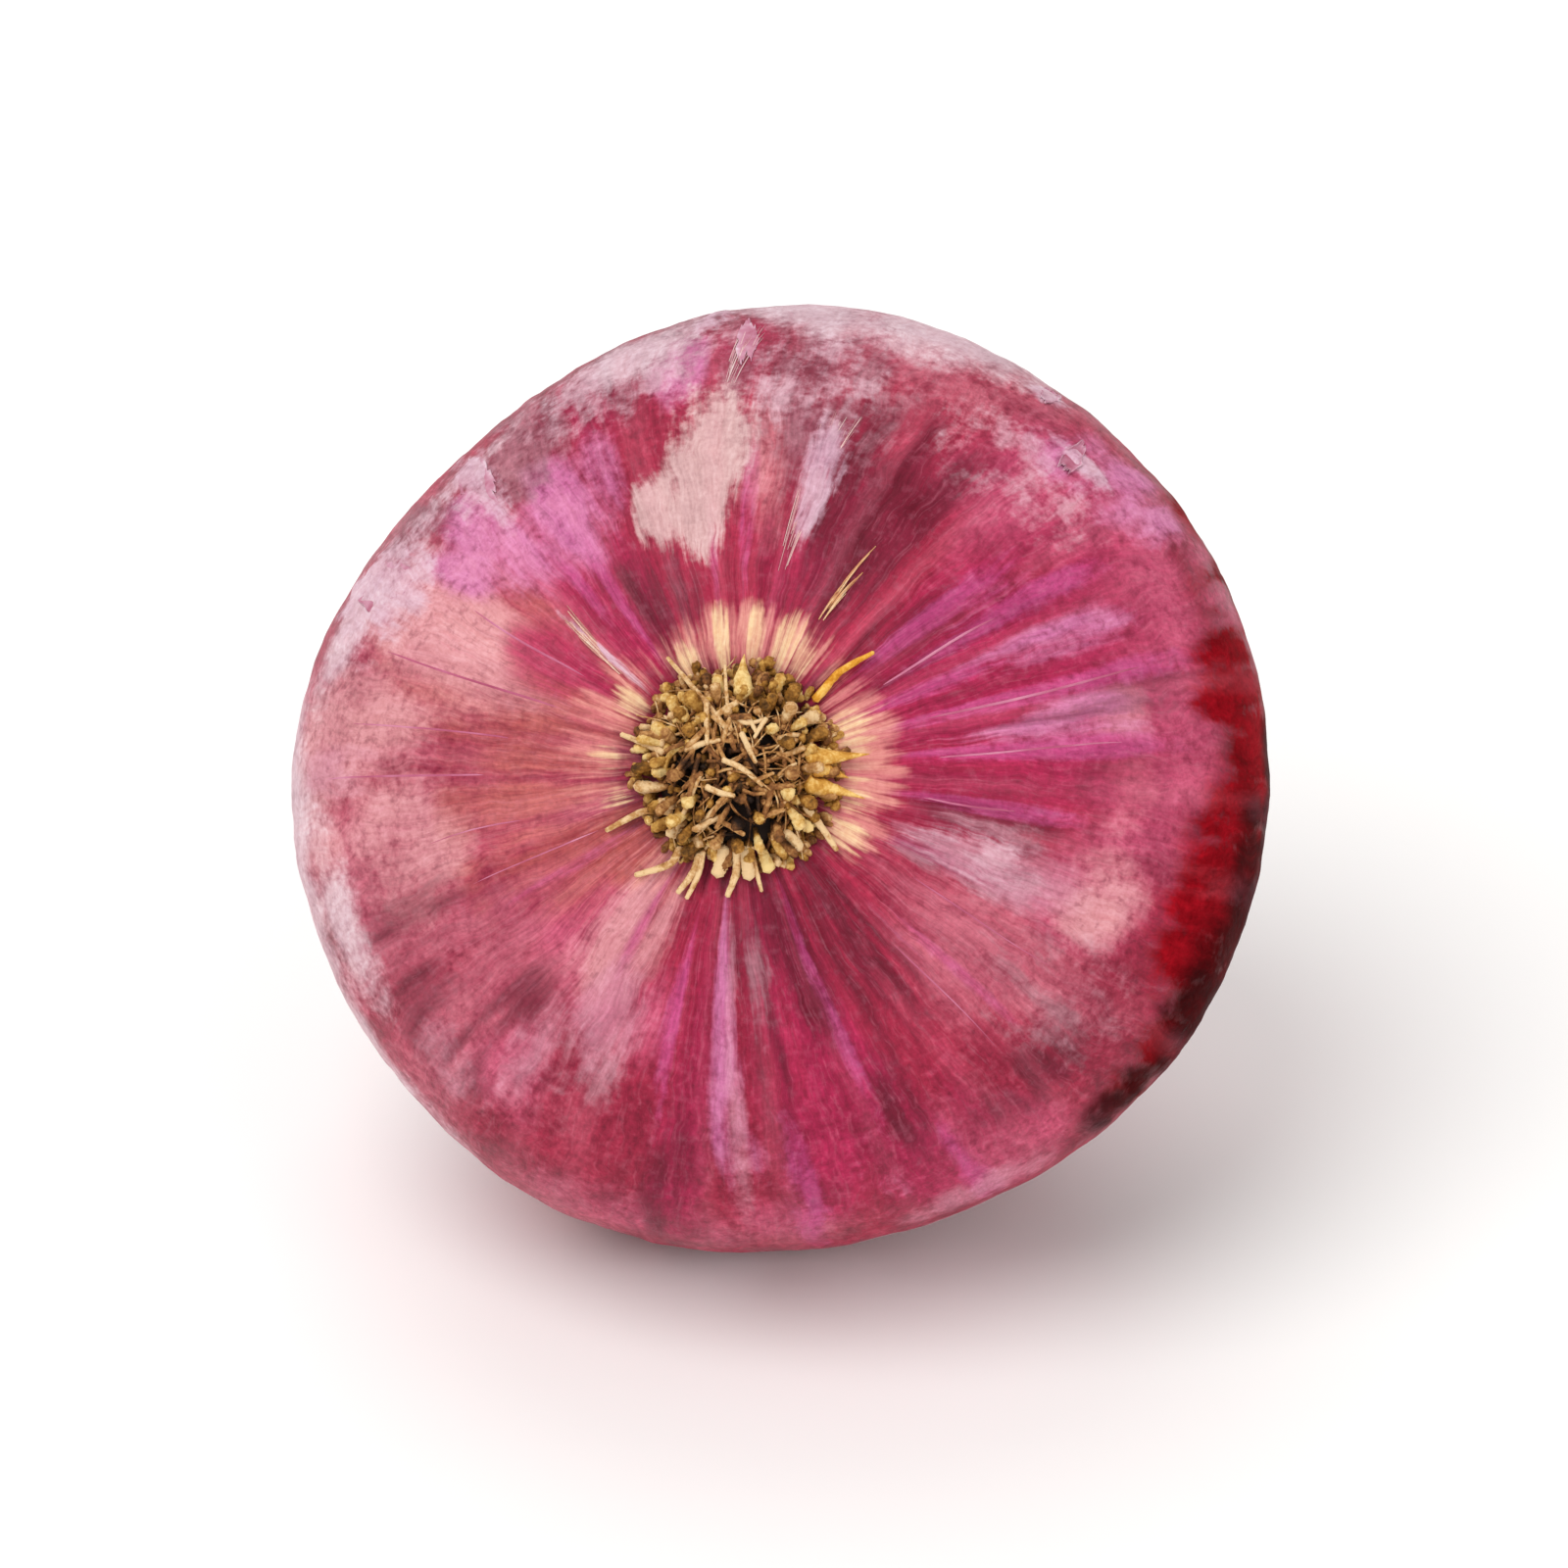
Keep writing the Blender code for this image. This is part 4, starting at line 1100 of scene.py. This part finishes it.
def tornFibreMaterial():
    # Bundles of bare skin fibres, matt. To the eye: golden tan by the root, elsewhere a
    # whitish pink fuzz.
    material, tree, shader, _, mottle = driedMaterial("onionSkinTornFibre", 0.65, 0.25, 1600.0, 3.0)
    tint = addNode(tree, "Attribute", attribute_name="tint", output="Vector")
    tone, white, _ = addNode(tree, "SeparateXYZ", {0: tint}, output=slice(3))
    shade = addNode(tree, "Math", {0: mottle, 1: 0.5, 2: tone}, operation="MULTIPLY_ADD")
    shade = addNode(tree, "MapRange", {0: shade, 1: 0.7, 2: 1.4})
    tan, pink = [addNode(tree, "ValToRGB", {0: shade}, ramp) for ramp in (
        ((0.0, "#9A5A34"), (0.35, "#C98A50"), (0.7, "#E2B880"), (1.0, "#F2E0BC")),
        ((0.0, "#B4707E"), (0.35, "#CC959C"), (0.7, "#DEB8B8"), (1.0, "#EBD8D4")),
    )]
    colour = addNode(tree, "Mix", {0: white, 6: tan, 7: pink}, data_type="RGBA", output=2)
    linkSurface(tree, shader, colour)
    return material


for piece in (
    makeVeins(skinVeinMaterial()), makeFlakes(skinFlakeMaterial()), makeTornFibres(tornFibreMaterial()),
):
    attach(piece, "root")
    print(piece.name, len(piece.data.polygons), "faces")

driedLeaves = {
    "seed": 14,
    "length": 9.0,  # mm, as in the part
    "cells": (10, 26),  # across and along
    "paper": 0.16,  # mm thick
    # leaf ends: how many, radius at the foot, width and flare in mm
    "rings": ((7, 4.7, 4.3, 3.4), (6, 3.7, 3.6, 1.6), (3, 2.4, 3.0, 0.5)),
    "taper": 0.55,  # share of the width that is gone at the tip
    "ripple": 0.4,  # mm
    "tear": 0.14,  # share of the length
    "sheaths": 11,  # papery flaps that start further down, on the skin of the neck
    "tipShade": "#6E4426",
}
# mm: how far the core reaches past the neck's end and back from it, and its middle's depth
neckCore = {"radius": 5.3, "past": 5.2, "before": 0.6, "sunk": 0.2}


def neckSkinRadius(before):
    # Radius of the skin, in mm, that far in mm before the end of the neck.
    rise = min(1 - before * mm / bulb["neckHalf"], 1.0)
    swell = (1 - rise ** bulb["neckShoulder"]) ** bulb["neckSweep"]
    return (bulb["neckRadius"] + (bulb["radius"] - bulb["neckRadius"]) * swell) / mm


def addLeaf(bm, azimuth, profile, width, taper, twist, cup, ripple, wave, tears, tone):
    # A papery strip along a profile of (radius, distance past the neck's end) in mm.
    across, along = driedLeaves["cells"]
    layer = bm.verts.layers.float_vector["leafPlace"]  # across in mm, up its length, tone
    line = smoothLine([Vector((r, s, 0)) for r, s in profile], along + 1)
    rows = []
    for j, mark in enumerate(line):
        reach = j / along
        row = []
        for i in range(across + 1):
            aside = 2 * i / across - 1
            tear = float(np.interp(i / across, np.linspace(0, 1, len(tears)), tears))
            jag = 0.25 * math.sin(31 * aside + wave * 5) + 0.15 * math.sin(67 * aside + wave * 11)
            half = width / 2 * (1 - taper * reach**1.6)
            crease = ripple * reach * math.sin(wave + 5 * reach)
            crease += 0.16 * math.sin(aside * 9 + wave * 3) * min(reach * 3, 1)
            crease += 0.22 * math.sin(aside * 4 - 7 * reach + wave) * reach
            radius = max(mark.x + crease + cup * aside**2 * reach, 0.5)
            past = mark.y + (tear * driedLeaves["length"] + jag) * reach**3
            turn = azimuth + twist * reach + aside * half / max(radius, 2.0)
            vert = bm.verts.new(polar(radius * mm, turn, -bulb["neckHalf"] - past * mm))
            vert[layer] = (aside * width / 2, reach * 12, tone)
            row.append(vert)
        rows.append(row)
    for low, high in zip(rows, rows[1:]):
        for i in range(across):
            bm.faces.new((low[i], high[i], high[i + 1], low[i + 1]))


def makeLeaves(material):
    draw = random.Random(driedLeaves["seed"])
    bm, _ = tintedMesh("leafPlace")
    # The part's leaf ends, in its order of draws; azimuths run the other way round there.
    for ring, (count, start, width, flare) in enumerate(driedLeaves["rings"]):
        for i in range(count):
            azimuth = math.tau * (i + 0.5 * ring + draw.uniform(-0.15, 0.15)) / count
            spread = flare * draw.uniform(0.6, 1.4)
            length = driedLeaves["length"] * draw.uniform(0.7, 1.2)
            twist = math.radians(draw.uniform(-16, 16))
            wave = draw.uniform(0.0, math.tau)
            cup = draw.uniform(-0.3, 0.5)
            tears = [draw.uniform(-driedLeaves["tear"], driedLeaves["tear"]) for _ in range(4)]
            foot = draw.uniform(0.6, 1.4)
            begin = start + draw.uniform(-0.3, 0.3)
            profile = [(begin + 0.4, -1.0)] + [
                (begin + spread * reach**2, foot + length * reach) for reach in (0.0, 0.35, 0.7, 1.0)
            ]
            addLeaf(bm, -azimuth, profile, width, driedLeaves["taper"], -twist, cup,
                    driedLeaves["ripple"], wave, tears, 0.25 + 0.25 * ring)
    # Sheaths that lie on the neck's skin and stand up past its end.
    more = random.Random(driedLeaves["seed"] + 30)
    for i in range(driedLeaves["sheaths"]):
        azimuth = math.tau * (i + more.uniform(-0.25, 0.25)) / driedLeaves["sheaths"]
        before = more.uniform(2.2, 4.2)
        past = more.uniform(-0.2, 3.6)
        stops = [-before, -before * 0.66, -before * 0.33, 0.0]
        profile = [(neckSkinRadius(-s) + 0.22, s) for s in stops]
        profile += [(5.7 + more.uniform(-0.3, 0.3), 1.2), (5.4 + more.uniform(-0.5, 0.9), 1.6 + past)]
        tears = [more.uniform(-0.12, 0.12) for _ in range(5)]
        addLeaf(bm, azimuth, profile, more.uniform(3.6, 5.6), 0.3, more.uniform(-0.2, 0.2), 0.1,
                0.25, more.uniform(0, math.tau), tears, more.uniform(0.1, 0.7))
    bm.transform(pose)
    return thicken(addPiece("driedLeaves", bm, material), driedLeaves["paper"])


def makeCore(material):
    # What is left of the shoots inside the neck: a shrivelled, creased stump.
    bm = bmesh.new()
    bmesh.ops.create_uvsphere(bm, u_segments=72, v_segments=40, radius=1.0)
    middle = -bulb["neckHalf"] - neckCore["sunk"] * mm
    for vert in bm.verts:
        turn = math.atan2(vert.co.y, vert.co.x)
        crease = 1 + 0.09 * math.sin(turn * 9 + vert.co.z * 4) + 0.05 * math.sin(turn * 17 - vert.co.z * 9)
        reach = neckCore["radius"] * mm * crease
        height = neckCore["past" if vert.co.z > 0 else "before"] * mm
        lump = 1 + 0.12 * math.sin(vert.co.x * 7 + 1) * math.cos(vert.co.y * 6)
        vert.co = (vert.co.x * reach, vert.co.y * reach, middle - vert.co.z * height * lump)
    bmesh.ops.reverse_faces(bm, faces=bm.faces)
    bm.transform(pose)
    return addPiece("neckCore", bm, material)


def driedLeafMaterial():
    # Papery dried leaf, matt. To the eye: straw with crimson veins towards the bulb,
    # browner at the torn tips.
    material, tree, shader, _, mottle = driedMaterial("onionLeafDriedPaper", 0.62, 0.3, 420.0, 5.0)
    place = addNode(tree, "Attribute", attribute_name="leafPlace", output="Vector")
    aside, along, tone = addNode(tree, "SeparateXYZ", {0: place}, output=slice(3))
    # veins about 0.4 mm apart and 8 mm long
    shaped = addNode(tree, "VectorMath", {0: place, 1: (2.4, 0.12, 3.0)}, operation="MULTIPLY")
    veins = addNode(tree, "TexNoise", {"Vector": shaped, "Scale": 1.0, "Detail": 5.0})
    paper, flesh = [addNode(tree, "ValToRGB", {0: veins}, ramp) for ramp in (
        ((0.25, "#8E5F34"), (0.45, "#C08D55"), (0.6, "#DDB483"), (0.8, "#EED3A8")),
        ((0.25, "#7C2136"), (0.45, "#A53C50"), (0.6, "#C4687A"), (0.8, "#DDA0A0")),
    )]
    # crimson low down and on the sheaths with a low tone, straw above
    height = addNode(tree, "Math", {0: along, 1: 0.09, 2: tone}, operation="MULTIPLY_ADD")
    height = addNode(tree, "Math", {0: mottle, 1: 0.9, 2: height}, operation="MULTIPLY_ADD")
    inputs = {0: height, 1: 0.75, 2: 1.25}
    share = addNode(tree, "MapRange", inputs, interpolation_type="SMOOTHSTEP")
    colour = addNode(tree, "Mix", {0: share, 6: flesh, 7: paper}, data_type="RGBA", output=2)
    tips = addNode(tree, "MapRange", {0: along, 1: 8.5, 2: 13.0, 4: 0.7})
    inputs = {0: tips, 6: colour, 7: linearColour(driedLeaves["tipShade"])}
    colour = addNode(tree, "Mix", inputs, data_type="RGBA", output=2)
    linkSurface(tree, shader, colour, veins, 0.5, 0.1)
    return material


def shrivelledCoreMaterial():
    # Shrivelled shoot tissue, matt. To the eye: dark brown with wine-red creases.
    material, tree, shader, _, mottle = driedMaterial("onionShootShrivelled", 0.75, 0.25, 900.0, 5.0)
    ramp = ((0.3, "#1E0D0C"), (0.5, "#43201C"), (0.62, "#6E3A2C"), (0.8, "#9C6B45"))
    linkSurface(tree, shader, addNode(tree, "ValToRGB", {0: mottle}, ramp), mottle, 0.8, 0.2)
    return material


leafPiece = makeLeaves(driedLeafMaterial())
corePiece = makeCore(shrivelledCoreMaterial())
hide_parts("neck_leaves")
for piece in (leafPiece, corePiece):
    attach(piece, "root")
print("neck", len(leafPiece.data.polygons), "leaf faces")

studio = {
    "floorShade": "#FAF9F7",
    "floorHalf": 3.0,
    # soft round lights: place, width in metres, watts
    "lights": {
        "keySoftbox": ((-0.50, -0.50, 1.10), 1.0, 10.2),
        "topSoftbox": ((-0.10, 0.80, 1.10), 1.2, 4.5),
        "fillSoftbox": ((0.9, -0.8, 0.4), 0.8, 4.2),
    },
    "world": 0.52,
    "distance": 0.65,  # metres, from the camera to its aim
    "elevation": 30.0,
    "lens": 187.0,  # mm, as is the sensor's width
    "sensor": 36.0,
    "aim": Vector((0.0, -0.00107, 0.03637)),
}


def makeFloor():
    bm = bmesh.new()
    bmesh.ops.create_grid(bm, x_segments=4, y_segments=4, size=studio["floorHalf"])
    shade = linearColour(studio["floorShade"])
    material, _, _ = newMaterial("paintedFloorMatt", {"Roughness": 0.85, "Base Color": shade})
    return addPiece("floor", bm, material)


def addLight(name, spot, size, watts):
    light = bpy.data.lights.new(name, "AREA")
    light.shape = "DISK"
    light.size = size
    light.energy = watts
    lamp = bpy.data.objects.new(name, light)
    lamp.location = spot
    lamp.rotation_euler = (studio["aim"] - Vector(spot)).to_track_quat("-Z", "Y").to_euler()
    bpy.context.scene.collection.objects.link(lamp)


makeFloor()
for name, (spot, size, watts) in studio["lights"].items():
    addLight(name, spot, size, watts)
world = bpy.data.worlds.new("studio")
world.use_nodes = True
sky = world.node_tree.nodes["Background"]
sky.inputs["Color"].default_value = linearColour("#FFFFFF")
sky.inputs["Strength"].default_value = studio["world"]
bpy.context.scene.world = world
bpy.context.scene.view_settings.view_transform = "Standard"

cameraData = bpy.data.cameras.new("camera")
cameraData.lens = studio["lens"]
cameraData.sensor_width = studio["sensor"]
camera = bpy.data.objects.new("camera", cameraData)
down = math.radians(studio["elevation"])
look = Vector((0, math.cos(down), -math.sin(down)))
camera.location = studio["aim"] - look * studio["distance"]
camera.rotation_euler = look.to_track_quat("-Z", "Y").to_euler()
bpy.context.scene.collection.objects.link(camera)
bpy.context.scene.camera = camera
print("studio", len(studio["lights"]), "lights")
